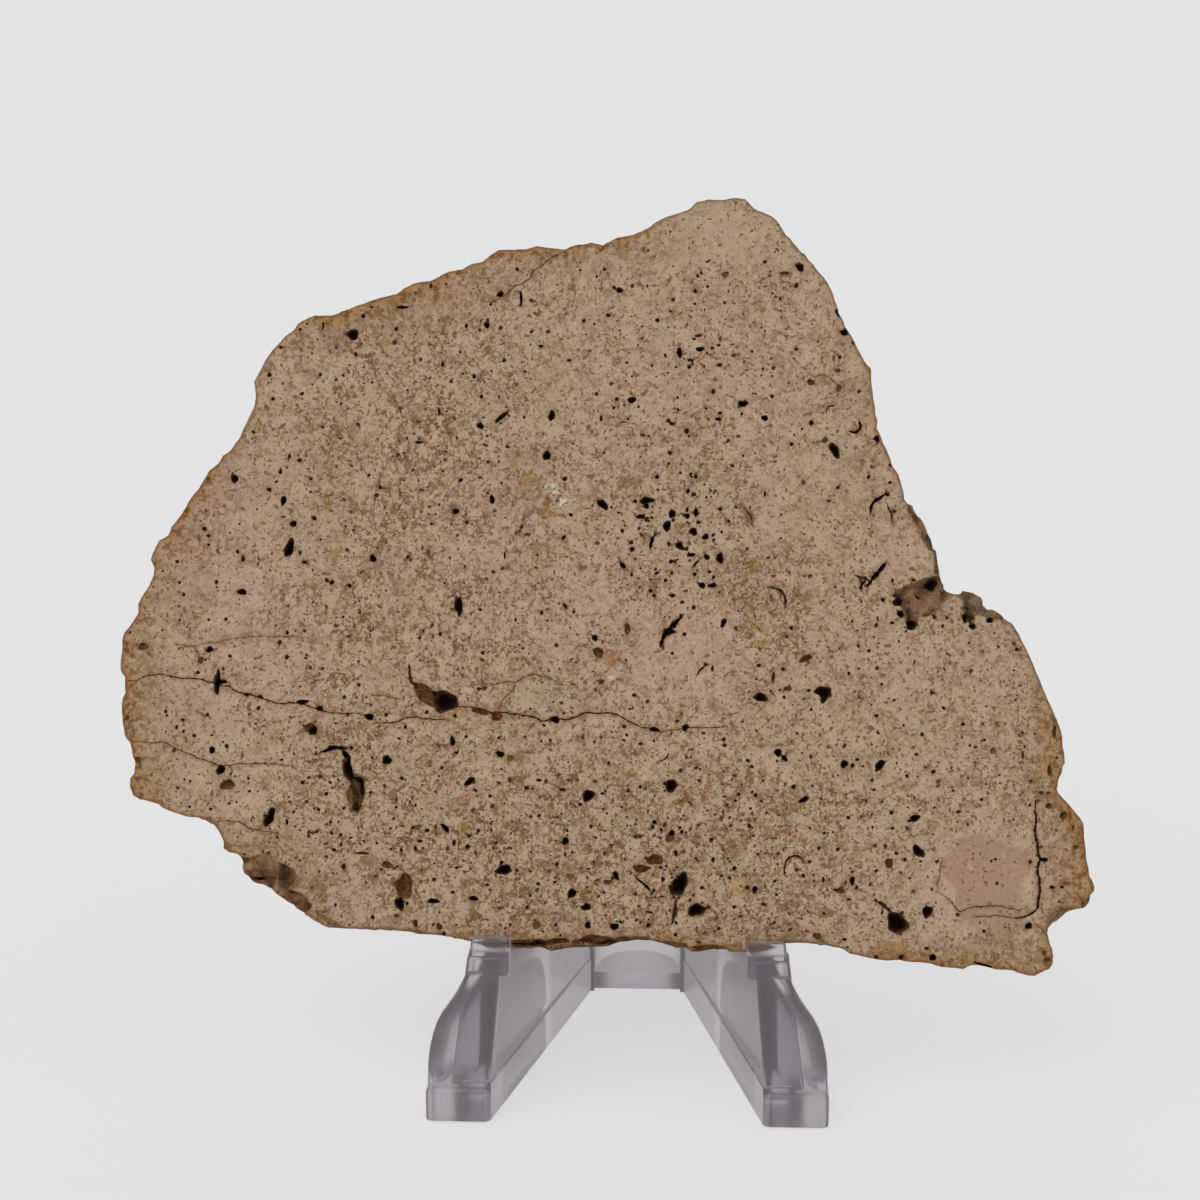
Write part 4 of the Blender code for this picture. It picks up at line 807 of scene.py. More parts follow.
@dataclass(frozen=True)
class Groove:
    """A crack or slit that follows a line and narrows at both ends."""

    line: np.ndarray
    half: float

    @classmethod
    def from_points(cls, points: Line, half: float, step: float) -> "Groove":
        """A groove that wanders a little about its line.

        Args:
            points: The line's corners.
            half: The half width in the middle.
            step: The spacing of the wandering line's points.

        Returns:
            The groove.
        """
        line = np.array(points)
        wander = Vector((half * 71.0, 0.0, line[0, 1]))
        runs = np.concatenate([[0.0], np.cumsum(np.linalg.norm(np.diff(line, axis=0), axis=1))])
        at = np.linspace(0.0, runs[-1], max(3, int(round(runs[-1] / step)) + 1))
        even = np.stack([np.interp(at, runs, line[:, axis]) for axis in (0, 1)], axis=1)
        for apart, waves, reach in WANDERS:
            shifts = [wandering(wander + Vector((apart, run * waves, 0.0))) for run in at]
            even = even + reach * np.array(shifts)
        return cls(even, half)

    def size(self) -> float:
        """The half width in the middle."""
        return self.half

    def window(self, reach: float) -> tuple[float, float, float, float]:
        """The lowest and highest U, then W, that a share of the half width reaches."""
        low, high = self.line.min(axis=0) - self.half * reach, self.line.max(axis=0) + self.half * reach
        return low[0], high[0], low[1], high[1]

    def _widths(self) -> np.ndarray:
        """The half width along the line.

        Returns:
            One half width for each point.
        """
        steps = np.arange(len(self.line))
        waves = 0.66 + 0.34 * np.sin(steps * 2.3 + self.line[0, 0]) * np.sin(steps * 0.83 + self.line[0, 1])
        return self.half * waves * np.sin(np.pi * np.linspace(0.04, 0.96, len(self.line))) ** 0.4

    def share(self, points: np.ndarray) -> np.ndarray:
        """How far to the side some points are.

        Args:
            points: Places in the face.

        Returns:
            0 on the line, 1 at its sides and more outside.
        """
        nearest = np.full(len(points), np.inf)
        widths = self._widths()
        for place, (start, end) in enumerate(zip(self.line, self.line[1:])):
            run = end - start
            along = np.clip(((points - start) @ run) / (run @ run), 0.0, 1.0)
            away = points - start - along[:, None] * run
            width = widths[place] + along * (widths[place + 1] - widths[place])
            nearest = np.minimum(nearest, np.hypot(away[:, 0], away[:, 1]) / width)
        return nearest

    def loop(self, share: float, _step: float) -> np.ndarray:
        """Points along both sides at a share of the half width."""
        across = open_normals(self.line) * (self._widths() * share)[:, None]
        return np.concatenate([self.line + across, (self.line - across)[::-1]])


@dataclass(frozen=True)
class Hollow:
    """A mark that is sunk into the face."""

    mark: Spot | Groove
    depth: float
    lining_and_shade: LiningAndShade
    halo: float = 0.0


@dataclass(frozen=True)
class Stain:
    """A mark of another colour, level with the face."""

    mark: Spot
    grain: Grain


class FaceField:
    """Points of the face, sorted so that the ones near a mark are found quickly."""

    def __init__(self, points: np.ndarray) -> None:
        """Sort the points on U.

        Args:
            points: Places in the face.
        """
        self.points = points
        self.order = np.argsort(points[:, 0])
        self.along = points[self.order, 0]

    def near(self, mark: Spot | Groove, reach: float) -> tuple[np.ndarray, np.ndarray]:
        """The points within a share of a mark's outline.

        Args:
            mark: The mark.
            reach: The largest share that counts.

        Returns:
            The points' numbers and their shares.
        """
        left, right, low, high = mark.window(reach)
        among = self.order[np.searchsorted(self.along, left):np.searchsorted(self.along, right)]
        among = among[(self.points[among, 1] > low) & (self.points[among, 1] < high)]
        if not len(among):
            return among, np.zeros(0)
        share = mark.share(self.points[among])
        return among[share < reach], share[share < reach]


class FlatTree:
    """Flat points among which the nearest is found quickly."""

    def __init__(self, points: np.ndarray) -> None:
        """Sort the points into the tree.

        Args:
            points: Places in the face.
        """
        self.tree = KDTree(len(points))
        for number, (x, y) in enumerate(points):
            self.tree.insert((x, y, 0.0), number)
        self.tree.balance()

    def nearest(self, points: np.ndarray) -> tuple[np.ndarray, np.ndarray]:
        """The number of the tree's nearest point and its distance, for each of some points."""
        found = [self.tree.find((x, y, 0.0))[1:] for x, y in points]
        return np.array([number for number, _ in found], dtype=int), np.array([away for _, away in found])


class Web2D:
    """Points and edges that the triangles of a face have to follow."""

    def __init__(self, boundary: np.ndarray, clear: float) -> None:
        """Start with the boundary.

        Args:
            boundary: The closed outline.
            clear: The gap that added lines keep from it.
        """
        count = len(boundary)
        self.points = [boundary]
        self.edges = [(place, (place + 1) % count) for place in range(count)]
        self.count = count
        self.clear = clear
        self.boundary = boundary
        ahead = np.roll(boundary, -1, axis=0) - boundary
        quarters = np.array([0.0, 0.25, 0.5, 0.75])[:, None]
        self.dense = (boundary[:, None] + ahead[:, None] * quarters).reshape(-1, 2)
        self.outwards = closed_normals(self.dense)
        self.rim_tree = FlatTree(self.dense)

    def _kept(self, line: np.ndarray, clear: float) -> np.ndarray:
        """Which points are inside the boundary and clear of it.

        Args:
            line: The points.
            clear: The gap that they need.

        Returns:
            True or False for each point.
        """
        near, away = self.rim_tree.nearest(line)
        behind = np.sum((line - self.dense[near]) * self.outwards[near], axis=1) < 0.0
        return behind & (away > clear)

    def add(self, line: np.ndarray, closed: bool) -> None:
        """Add a line, leaving out what isn't clear of the boundary.

        Args:
            line: The line's points.
            closed: Whether its end joins its start.
        """
        places = np.flatnonzero(self._kept(line, self.clear))
        names = {int(place): self.count + order for order, place in enumerate(places)}
        for place in range(len(line) if closed else len(line) - 1):
            after = (place + 1) % len(line)
            if place in names and after in names:
                self.edges.append((names[place], names[after]))
        self.points.append(line[places])
        self.count += len(places)

    def fill(self, step: float, clear: float, chance: np.random.Generator) -> None:
        """Scatter points over the rest of the face.

        Args:
            step: The spacing of the points.
            clear: The gap that they keep from the lines and the boundary.
            chance: Moves each point a little.
        """
        low, high = self.boundary.min(axis=0), self.boundary.max(axis=0)
        rows = []
        for row, w in enumerate(np.arange(low[1], high[1], step * math.sqrt(0.75))):
            across = np.arange(low[0] + (row % 2) * step / 2, high[0], step)
            rows.append(np.stack([across, np.full_like(across, w)], axis=1))
        grid = np.concatenate(rows)
        grid += chance.uniform(-0.2, 0.2, grid.shape) * step
        grid = grid[self._kept(grid, clear)]
        if len(self.points) > 1:
            grid = grid[FlatTree(np.concatenate(self.points[1:])).nearest(grid)[1] > clear]
        self.points.append(grid)
        self.count += len(grid)

    def triangles(self) -> tuple[np.ndarray, np.ndarray, np.ndarray]:
        """Triangulate the face.

        Returns:
            The points, the triangles, and the number of each boundary point.
        """
        flat = [Vector(p) for p in np.concatenate(self.points)]
        made, _, faces, origins, _, _ = delaunay_2d_cdt(flat, self.edges, [], 1, 1e-5, True)
        points, corners = np.array([tuple(p) for p in made]), np.array(faces)
        corners = corners[inside(points[corners].mean(axis=1), self.boundary)]
        places = {origin: number for number, merged in enumerate(origins) for origin in merged}
        rim = np.array([places[number] for number in range(len(self.boundary))])
        return points, corners, rim


@dataclass(frozen=True)
class Bench:
    """The places of the easel's frame and the slab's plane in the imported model."""

    easel: Matrix
    slab: Matrix

    @classmethod
    def from_frame(cls) -> "Bench":
        """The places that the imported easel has.

        Returns:
            The places.
        """
        low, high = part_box("display_stand")
        easel = Matrix.Translation(((low.x + high.x) / 2, low.y, 0.0)) @ Matrix.Scale(MM, 4)
        slab = easel @ Matrix.Translation(SLAB_FOOT) @ Matrix.Rotation(-SLAB_LEAN, 4, "X")
        return cls(easel, slab)


def placed(matrix: Matrix, points: np.ndarray) -> np.ndarray:
    """Points carried by a matrix."""
    table = np.array(matrix)
    return points @ table[:3, :3].T + table[:3, 3]


def linked(name: str, data: bpy.types.ID) -> bpy.types.Object:
    """Make an object and put it into the scene.

    Args:
        name: The object's name.
        data: Its mesh, lamp or camera.

    Returns:
        The object.
    """
    made = bpy.data.objects.new(name, data)
    bpy.context.scene.collection.objects.link(made)
    return made


@dataclass
class SuevitePlate:
    """The slab: a sawn front, a broken rim and a sawn back."""

    edge_step: float = 0.45
    # the teeth of the sawn edge
    tooth_wave: float = 1.1
    tooth_height: float = 0.09
    tooth_inset: float = 0.05
    # the triangles' spacing
    front_step: float = 0.56
    back_step: float = 1.3
    # the broken rim
    worn_passes: int = 7
    ring_depths: Row = (
        0.0, 0.16, 0.4, 0.75, 1.2, 1.7, 2.25, 2.85, 3.45, 4.05, 4.65, 5.25, 5.85, 6.45, 7.05, 7.6, 8.0)
    rim_share: Line = ((0.0, 0.0), (0.1, 0.5), (0.3, 1.0), (1.0, 1.0))
    fallback: float = 2.2
    rim_wave: float = 7.0
    rim_most: float = 0.25
    front_share: float = 0.15
    slow: float = 0.5
    rough: float = 2.6
    fine: float = 2.4
    fine_height: float = 0.55
    seed: Row = (3.1, 0.0, 7.7)
    seat_half_span: float = 19.0
    seat_height: float = 2.0
    # the chips
    chip_wave: float = 2.2
    chip_height: float = 1.8
    chip_least: float = 0.15
    # how much painted shade the deeper crevices of a chip get
    chip_crevice_shade: float = 1.6
    # the pits, slits and cracks
    small_pits: int = 1500
    small_size: float = 0.33
    pinhole: Point = (0.1, 0.22)
    open_everywhere: float = 0.16
    closed_where_smooth: float = 0.14
    pit_growth: float = 1.1
    pit_wobble: float = 1.15
    crowd_growth: float = 0.15
    deepest: float = 2.2
    plain_share: float = 0.6
    pit_halo: float = 0.6
    slit_growth: float = 1.25
    slit_depth: float = 2.4
    crack_growth: float = 1.15
    crack_depth: float = 1.9
    hairline: float = 0.095
    halo_reach: float = 0.6
    halo_most: float = 4.0
    core: float = 0.45
    back_pits: int = 150
    back_pit: Point = (0.35, 1.1)
    # the stains
    stain_wobble: float = 1.3
    stain_reach: float = 2.2
    stain_crisp: float = 0.5
    # the face and its edge
    face_wave: float = 0.9
    face_height: float = 0.02
    edge_round: float = 0.22
    edge_reach: float = 1.3
    edge_hold: float = 2.5
    # how broken the stone is
    rim_broken: float = 0.55
    corner_broken: float = 0.5
    back_broken: float = 0.4
    crease: float = 38.0
    chance: np.random.Generator = field(default_factory=lambda: np.random.default_rng(41))

    def boundary(self) -> tuple[np.ndarray, np.ndarray]:
        """The sawn outline and the worn one behind it.

        Returns:
            The two outlines, point by point, at about even steps.
        """
        sawn = np.array(OUTLINE)
        worn = eased(sawn, self.worn_passes)
        sharp, soft = [], []
        for place in range(len(sawn)):
            after = (place + 1) % len(sawn)
            steps = max(1, int(round(np.linalg.norm(sawn[after] - sawn[place]) / self.edge_step)))
            for share in np.arange(steps) / steps:
                sharp.append(sawn[place] + (sawn[after] - sawn[place]) * share)
                soft.append(worn[place] + (worn[after] - worn[place]) * share)
        edge = np.array(sharp)
        teeth = fractal(np.column_stack([edge, np.zeros(len(edge))]), self.tooth_wave, 3, 5.0)
        out = self.tooth_height * teeth - self.tooth_inset
        return edge + closed_normals(eased(edge, 2)) * out[:, None], np.array(soft)

    def rim_shift(self, point: np.ndarray, through: float, step: float) -> float:
        """How far the broken rim stands out of the worn outline at one point.

        Args:
            point: The place on the worn outline.
            through: 0 at the front and 1 at the back.
            step: 0 at the rim's visible edge and 1 at the back.

        Returns:
            The distance in millimetres, negative inwards.
        """
        place = Vector((point[0], point[1], through * SLAB_THICKNESS)) / self.rim_wave
        slow = (1.0 + noise.noise(place * self.slow + Vector(self.seed))) / 2.0
        resting = point[1] < self.seat_height and abs(point[0]) < self.seat_half_span
        fine = noise.fractal(place * self.fine, 0.9, 2.1, 5)
        rough = noise.noise(place * self.rough) + self.fine_height * fine
        falling = self.fallback * slow * (self.front_share + step)
        return min((0.0 if resting else rough) - falling, self.rim_most)

    def chip_depth(self, points: np.ndarray) -> tuple[np.ndarray, np.ndarray]:
        """How deep the broken corners and edges are at points of the face.

        Args:
            points: Places in the face.

        Returns:
            The depth, and how broken the stone is: more than 1 in the deeper crevices, where the finish
                paints shade.
        """
        depth, broken = np.zeros(len(points)), np.zeros(len(points))
        for chip in CHIPS:
            within = inside(points, np.array(chip.edge + chip.outside))
            near = line_distance(points[within], np.array(chip.edge))
            far = line_distance(points[within], np.array(chip.outside))
            fall = (chip.outside_depth - chip.edge_depth) * near / np.maximum(near + far, 1e-6)
            level = np.full(within.sum(), chip.edge_depth)
            bumps = fractal(np.column_stack([points[within], level]), self.chip_wave, 5, 1.7)
            floor = np.maximum(chip.edge_depth + fall + self.chip_height * bumps, self.chip_least)
            depth[within] = np.maximum(depth[within], smooth_step(near / chip.slope()) * floor)
            # Deeper parts of the chip floor get more than 1, which the finish turns into painted shade.
            crevice_shade = 1.0 + self.chip_crevice_shade * np.maximum(bumps + 0.1, 0.0)
            broken[within] = smooth_step(near / 0.2) * crevice_shade
        return depth, broken

    def hollows(self) -> list[Hollow]:
        """Every pit, slit and crack of the sawn face.

        Returns:
            The hollows, the named ones first and then the pinholes.
        """
        made = []
        pits = (
            (DARK_PITS, LiningAndShade.DARK, 1.9), (BROWN_PITS, LiningAndShade.BROWN, 1.0), (OLIVE_PITS, LiningAndShade.OLIVE, 0.8))
        for rows, lining_and_shade, share in pits:
            for row in rows:
                spot = Spot.from_row(row, self.chance, self.pit_wobble)
                crowded = zone_strength(np.array([[spot.u, spot.w]]), DENSE_PIT_ZONES[:1])[0]
                small = spot.size() < self.small_size and crowded < 0.5
                grown = self.pit_growth + self.crowd_growth * crowded
                growth = 1.0 if small or lining_and_shade is not LiningAndShade.DARK else grown
                spot = replace(spot, along=spot.along * growth, across=spot.across * growth)
                # Small pits get the lighter UMBER, with less painted shade than the near-black of the deep
                # ones.
                shown = LiningAndShade.UMBER if small and lining_and_shade is LiningAndShade.DARK else lining_and_shade
                plain = lining_and_shade is LiningAndShade.DARK and self.chance.random() < self.plain_share
                halo = 0.0 if plain else self.pit_halo
                made.append(Hollow(spot, min(share * spot.size(), self.deepest), shown, halo))
        for rows, lining_and_shade in ((DARK_SLITS, LiningAndShade.DARK), (BROWN_SLITS, LiningAndShade.BROWN)):
            for line, half in rows:
                wide = half * self.slit_growth
                mark = Groove.from_points(line, wide, 0.3)
                made.append(Hollow(mark, half * self.slit_depth, lining_and_shade, 0.5))
        for half, line in CRACKS:
            wide = half * self.crack_growth
            # Wider cracks get the darker UMBER, partly as painted shade of the deeper crack.
            lining_and_shade = LiningAndShade.UMBER if half > self.hairline else LiningAndShade.BROWN
            mark = Groove.from_points(line, wide, 0.22)
            made.append(Hollow(mark, half * self.crack_depth, lining_and_shade, 0.8))
        return made + self._small_hollows()

    def _small_hollows(self) -> list[Hollow]:
        """Pinholes, closer together where the stone is more open.

        Returns:
            The pinholes.
        """
        sawn = np.array(OUTLINE)
        low, high = sawn.min(axis=0) + 0.6, sawn.max(axis=0) - 0.6
        spots = self.chance.uniform(low, high, (self.small_pits * 6, 2))
        spots = spots[inside(spots, sawn)]
        liking = self.open_everywhere + zone_strength(spots, DENSE_PIT_ZONES)
        liking -= self.closed_where_smooth * zone_strength(spots, SMOOTH_ZONES)
        spots = spots[self.chance.random(len(spots)) < liking][:self.small_pits]
        made = []
        for u, w in spots:
            size = self.pinhole[0] + self.pinhole[1] * self.chance.random() ** 2.0
            row = (u, w, size, size * self.chance.uniform(0.65, 1.0), self.chance.uniform(0.0, 180.0))
            lining_and_shade = self.chance.choice([LiningAndShade.DARK, LiningAndShade.UMBER, LiningAndShade.BROWN], p=[0.2, 0.5, 0.3])
            made.append(Hollow(Spot.from_row(row, self.chance), size * 1.3, lining_and_shade))
        return made

    def stains(self) -> list[Stain]:
        """Every fragment and stain of the sawn face.

        Returns:
            The stains, the lower ones first.
        """
        made = []
        for grain, rows in GRAINS.items():
            made += [Stain(Spot.from_row(row, self.chance, self.stain_wobble), grain) for row in rows]
        return made

    def face_web(self, boundary: np.ndarray, hollows: list[Hollow], stains: list[Stain]) -> Web2D:
        """The lines that the front's triangles follow.

        Args:
            boundary: The outline of the sawn face.
            hollows: The hollows to trace.
            stains: The stains to trace.

        Returns:
            The lines with points scattered between them.
        """
        web = Web2D(boundary, 0.12)
        for hollow in hollows:
            big = hollow.mark.size() > 0.34
            shares = (1.0, 0.9, 0.62, 0.3) if big else (1.0, 0.55)
            if isinstance(hollow.mark, Groove):
                web.add(hollow.mark.line, False)
                shares = (1.0, 0.86, 0.5) if hollow.mark.half > 0.2 else (1.0, 0.7)
            for share in shares:
                web.add(hollow.mark.loop(share, 0.22), True)
        for stain in stains:
            for share in (1.0, 0.75):
                web.add(stain.mark.loop(share, 0.4), True)
        for chip in CHIPS:
            line = Groove.from_points(chip.edge, 1.0, 0.3).line
            for away in (0.0, chip.slope()):
                web.add(line - open_normals(line) * away, False)
        web.fill(self.front_step, 0.2, self.chance)
        return web

    def rings(self, sawn: np.ndarray, worn: np.ndarray, chipped: np.ndarray, first: np.ndarray) -> np.ndarray:
        """The rim, ring by ring from the front to the back.

        Args:
            sawn: The sawn outline.
            worn: The worn outline.
            chipped: How deep the chips are at each point of the outline.
            first: The depth of the front's edge at each point.

        Returns:
            U, depth and W for each ring and point.
        """
        normals = closed_normals(worn)
        shares = np.array(self.rim_share)
        made = []
        for ring_depth in self.ring_depths:
            step = ring_depth / SLAB_THICKNESS
            through = (chipped + (SLAB_THICKNESS - chipped) * step) / SLAB_THICKNESS
            share = np.interp(through, shares[:, 0], shares[:, 1])[:, None]
            shift = np.array([self.rim_shift(point, at, step) for point, at in zip(worn, through)])
            flat = sawn + (worn + normals * shift[:, None] - sawn) * share
            depth = first + (SLAB_THICKNESS - first) * step
            made.append(np.column_stack([flat[:, 0], depth, flat[:, 1]]))
        made[-1][:, (0, 2)] = eased(made[-1][:, (0, 2)], 2)
        return np.array(made)

    def build(self, bench: Bench) -> bpy.types.Object:
        """Build the slab in its place.

        Args:
            bench: The places of the model's frames.

        Returns:
            The slab with its attributes and its map for baking.
        """
        sawn, worn = self.boundary()
        hollows, stains = self.hollows(), self.stains()
        flat, faces, rim = self.face_web(sawn, hollows, stains).triangles()
        face = FaceField(flat)
        chipped, broken = self.chip_depth(flat)
        nearest, to_edge = FlatTree(flat[rim]).nearest(flat)
        relief = self._relief(face, hollows)
        lowered = chipped + relief["depth"] + self.edge_round * np.exp(-to_edge / self.edge_round)
        bumps = fractal(np.column_stack([flat, np.zeros(len(flat))]), self.face_wave, 3, 9.0)
        lowered = np.maximum(lowered + self.face_height * bumps, 0.0)
        rings = self.rings(flat[rim], worn, chipped[rim], lowered[rim])
        shift = rings[0][:, (0, 2)] - flat[rim]
        hold = (1.0 - smooth_step(to_edge / self.edge_hold))[:, None]
        moved = flat + shift[nearest] * hold
        front = np.column_stack([moved[:, 0], lowered, moved[:, 1]])
        front[rim] = rings[0]
        back = self._back(rings[-1][:, (0, 2)])
        points, triangles, kinds, corners = self._joined((front, faces, rim), rings, back)
        LOG.info("slab: %d points, %d triangles", len(points), len(triangles))
        made = self._object(bench, points, triangles, corners)
        relief["edge"] = np.exp(-to_edge / self.edge_reach)
        kinds[:len(front)] = np.maximum(kinds[:len(front)], broken)
        self._attributes(made.data, points, relief, self._stained(face, stains), kinds)
        return made

    def _relief(self, face: FaceField, hollows: list[Hollow]) -> dict[str, np.ndarray]:
        """Sink the hollows into a face.

        Args:
            face: The face's points.
            hollows: The hollows.

        Returns:
            The depth, the lining colour with its painted shade, and the halo at each point.
        """
        count = len(face.points)
        depth, halo = np.zeros(count), np.zeros(count)
        lining_and_shade = np.zeros((count, 4))
        for hollow in hollows:
            around = min(self.halo_reach / hollow.mark.size(), self.halo_most) if hollow.halo else 1e-6
            reach = 1.0 + around
            among, share = face.near(hollow.mark, reach)
            within = np.clip(1.0 - share ** 2, 0.0, 1.0)
            sunk = hollow.depth * (np.sqrt(within) if hollow.mark.size() > 0.15 else within)
            amount = smooth_step((1.0 - share) / 0.1)
            deeper = sunk > depth[among]
            # From brown at the rim the colour turns towards the core into the hollow's own colour, near-black
            # for DARK: painted shade deep in the hole.
            core = smooth_step((1.0 - share[deeper]) / self.core)[:, None]
            tones = [np.array(linear(kind.value)) for kind in (LiningAndShade.BROWN, hollow.lining_and_shade)]
            lining_and_shade[among[deeper], :3] = tones[0] + (tones[1] - tones[0]) * core
            lining_and_shade[among, 3] = np.maximum(lining_and_shade[among, 3], amount)
            depth[among] = np.maximum(depth[among], sunk)
            halo[among] = np.maximum(halo[among], hollow.halo * smooth_step((reach - share) / (reach - 1.0)))
        return {"depth": depth, "lining_and_shade": lining_and_shade, "halo": halo}

    def _stained(self, face: FaceField, stains: list[Stain]) -> np.ndarray:
        """Colour a face with its stains.

        Args:
            face: The face's points.
            stains: The stains.

        Returns:
            The colour at each point, with how far inside the stain it is.
        """
        made = np.zeros((len(face.points), 4))
        for stain in stains:
            among, share = face.near(stain.mark, self.stain_reach)
            crisp = self.stain_crisp * min(max(stain.mark.size(), 1.0), self.stain_reach)
            depth_in = np.clip(0.5 + (1.0 - share) * crisp, 0.001, 1.0)
            stronger = depth_in > made[among, 3]
            made[among[stronger], :3] = linear(stain.grain.value)
            made[among[stronger], 3] = depth_in[stronger]
        return made

    def _back(self, rim: np.ndarray) -> Face:
        """The sawn back, with its own shallow pits.

        Args:
            rim: The outline of the back.

        Returns:
            The back's points, triangles and boundary points, in order.
        """
        web = Web2D(rim, 0.5)
        low, high = rim.min(axis=0) + 2.0, rim.max(axis=0) - 2.0
        pits = []
        for u, w in self.chance.uniform(low, high, (self.back_pits, 2)):
            size = self.chance.uniform(*self.back_pit)
            row = (u, w, size, size * self.chance.uniform(0.6, 1.0), self.chance.uniform(0.0, 180.0))
            pits.append(Hollow(Spot.from_row(row, self.chance), size * 1.2, LiningAndShade.BROWN))
            for share in (1.0, 0.55):
                web.add(pits[-1].mark.loop(share, 0.5), True)
        web.fill(self.back_step, 0.4, self.chance)
        flat, faces, edge = web.triangles()
        depth = self._relief(FaceField(flat), pits)["depth"]
        depth[edge] = 0.0
        return np.column_stack([flat[:, 0], SLAB_THICKNESS - depth, flat[:, 1]]), faces, edge

    def _joined(
        self, front_face: Face, rings: np.ndarray, back_face: Face,
    ) -> tuple[np.ndarray, np.ndarray, np.ndarray, np.ndarray]:
        """Join front, rim and back into one closed mesh.

        Args:
            front_face: The front's points, triangles and boundary points, in order.
            rings: The rim's points, ring by ring.
            back_face: The same of the back.

        Returns:
            The points, the triangles, how broken each point is, and the map's corners.
        """
        (front, faces, rim), (back, back_faces, back_rim) = front_face, back_face
        count = len(rim)
        middle = rings[1:-1].reshape(-1, 3)
        points = np.concatenate([front, middle, back])
        start_back = len(front) + len(middle)
        names = [rim]
        names += [len(front) + ring * count + np.arange(count) for ring in range(len(rings) - 2)]
        names.append(start_back + back_rim)
        triangles, corners = [faces], [(front[:, (0, 2)] - MAP_CORNER)[faces] * MAP_FRONT + 0.01]
        here, after = np.arange(count), (np.arange(count) + 1) % count
        strip = count // 4 + 1
        left, low = 0.75 + 0.06 * (here // strip), 0.01 + (here % strip) * self.edge_step * MAP_RIM
        high = low + self.edge_step * MAP_RIM
        for ring, (near, far) in enumerate(zip(names, names[1:])):
            x_near, x_far = (left + 0.05 * place / len(rings) for place in (ring, ring + 1))
            for loop in (
                    ((near[here], x_near, low), (near[after], x_near, high), (far[after], x_far, high)),
                    ((near[here], x_near, low), (far[after], x_far, high), (far[here], x_far, low))):
                triangles.append(np.stack([number for number, _, _ in loop], axis=1))
                corners.append(np.stack([np.stack([x, y], axis=1) for _, x, y in loop], axis=1))
        triangles.append(back_faces[:, ::-1] + start_back)
        corners.append((back[:, (0, 2)] - MAP_CORNER)[back_faces[:, ::-1]] * MAP_BACK + (0.01, 0.62))
        broken = np.zeros(len(points))
        broken[len(front):start_back] = self.rim_broken
        broken[start_back + back_rim] = self.back_broken
        broken[rim] = self.corner_broken
        return points, np.concatenate(triangles), broken, np.concatenate(corners)

    def _object(
        self, bench: Bench, points: np.ndarray, triangles: np.ndarray, corners: np.ndarray,
    ) -> bpy.types.Object:
        """Make the mesh object in its place.

        Args:
            bench: The places of the model's frames.
            points: The points in the slab's plane.
            triangles: The triangles.
            corners: The triangles' corners on the map for baking.

        Returns:
            The object.
        """
        mesh = bpy.data.meshes.new("suevite_slab_dressed")
        mesh.from_pydata(placed(bench.slab, points).tolist(), [], triangles.tolist())
        layer = mesh.uv_layers.new(name="OFBake")
        layer.data.foreach_set("uv", corners.reshape(-1).astype(np.float32))
        mesh.shade_smooth()
        mesh.set_sharp_from_angle(angle=math.radians(self.crease))
        return linked("suevite_slab_dressed", mesh)

    @staticmethod
    def _attributes(
        mesh: bpy.types.Mesh, points: np.ndarray, relief: dict[str, np.ndarray], grain: np.ndarray,
        broken: np.ndarray,
    ) -> None:
        """Store what the finish reads at each point, where nothing means the rim and the back.

        Args:
            mesh: The slab's mesh.
            points: Its points in the slab's plane.
            relief: The front's lining colour with its painted shade, halo and edge.
            grain: The front's stains.
            broken: How much each point is broken stone.
        """
        kinds = {1: ("FLOAT", "value"), 3: ("FLOAT_VECTOR", "vector"), 4: ("FLOAT_COLOR", "color")}
        zone_rows = (SMOOTH_ZONES, WEATHERED_ZONES, SPECKLED_ZONES, PINK_ZONES)
        zones = [zone_strength(points[:, (0, 2)], rows) for rows in zone_rows]
        for name, values in (
                ("place", points), ("lining_and_shade", relief["lining_and_shade"]), ("grain", grain),
                ("zones", np.stack(zones, axis=1)), ("halo", relief["halo"]), ("edge", relief["edge"]),
                ("broken", broken)):
            whole = np.zeros((len(points), values.size // len(values)))
            whole[:len(values)] = values.reshape(len(values), -1)
            kind, prop = kinds[whole.shape[1]]
            layer = mesh.attributes.new(name, kind, "POINT")
            layer.data.foreach_set(prop, whole.reshape(-1).astype(np.float32))


def zone_strength(points: np.ndarray, rows: Sequence[Row]) -> np.ndarray:
    """How strongly soft zones act at points of the face.

    Args:
        points: Places in the face.
        rows: Centre, half sizes and strength of each zone.

    Returns:
        The strongest zone's value at each place.
    """
    strength = np.zeros(len(points))
    for u, w, half_u, half_w, amount in rows:
        away = np.hypot((points[:, 0] - u) / half_u, (points[:, 1] - w) / half_w)
        strength = np.maximum(strength, amount * smooth_step(1.45 - away * 0.9))
    return strength


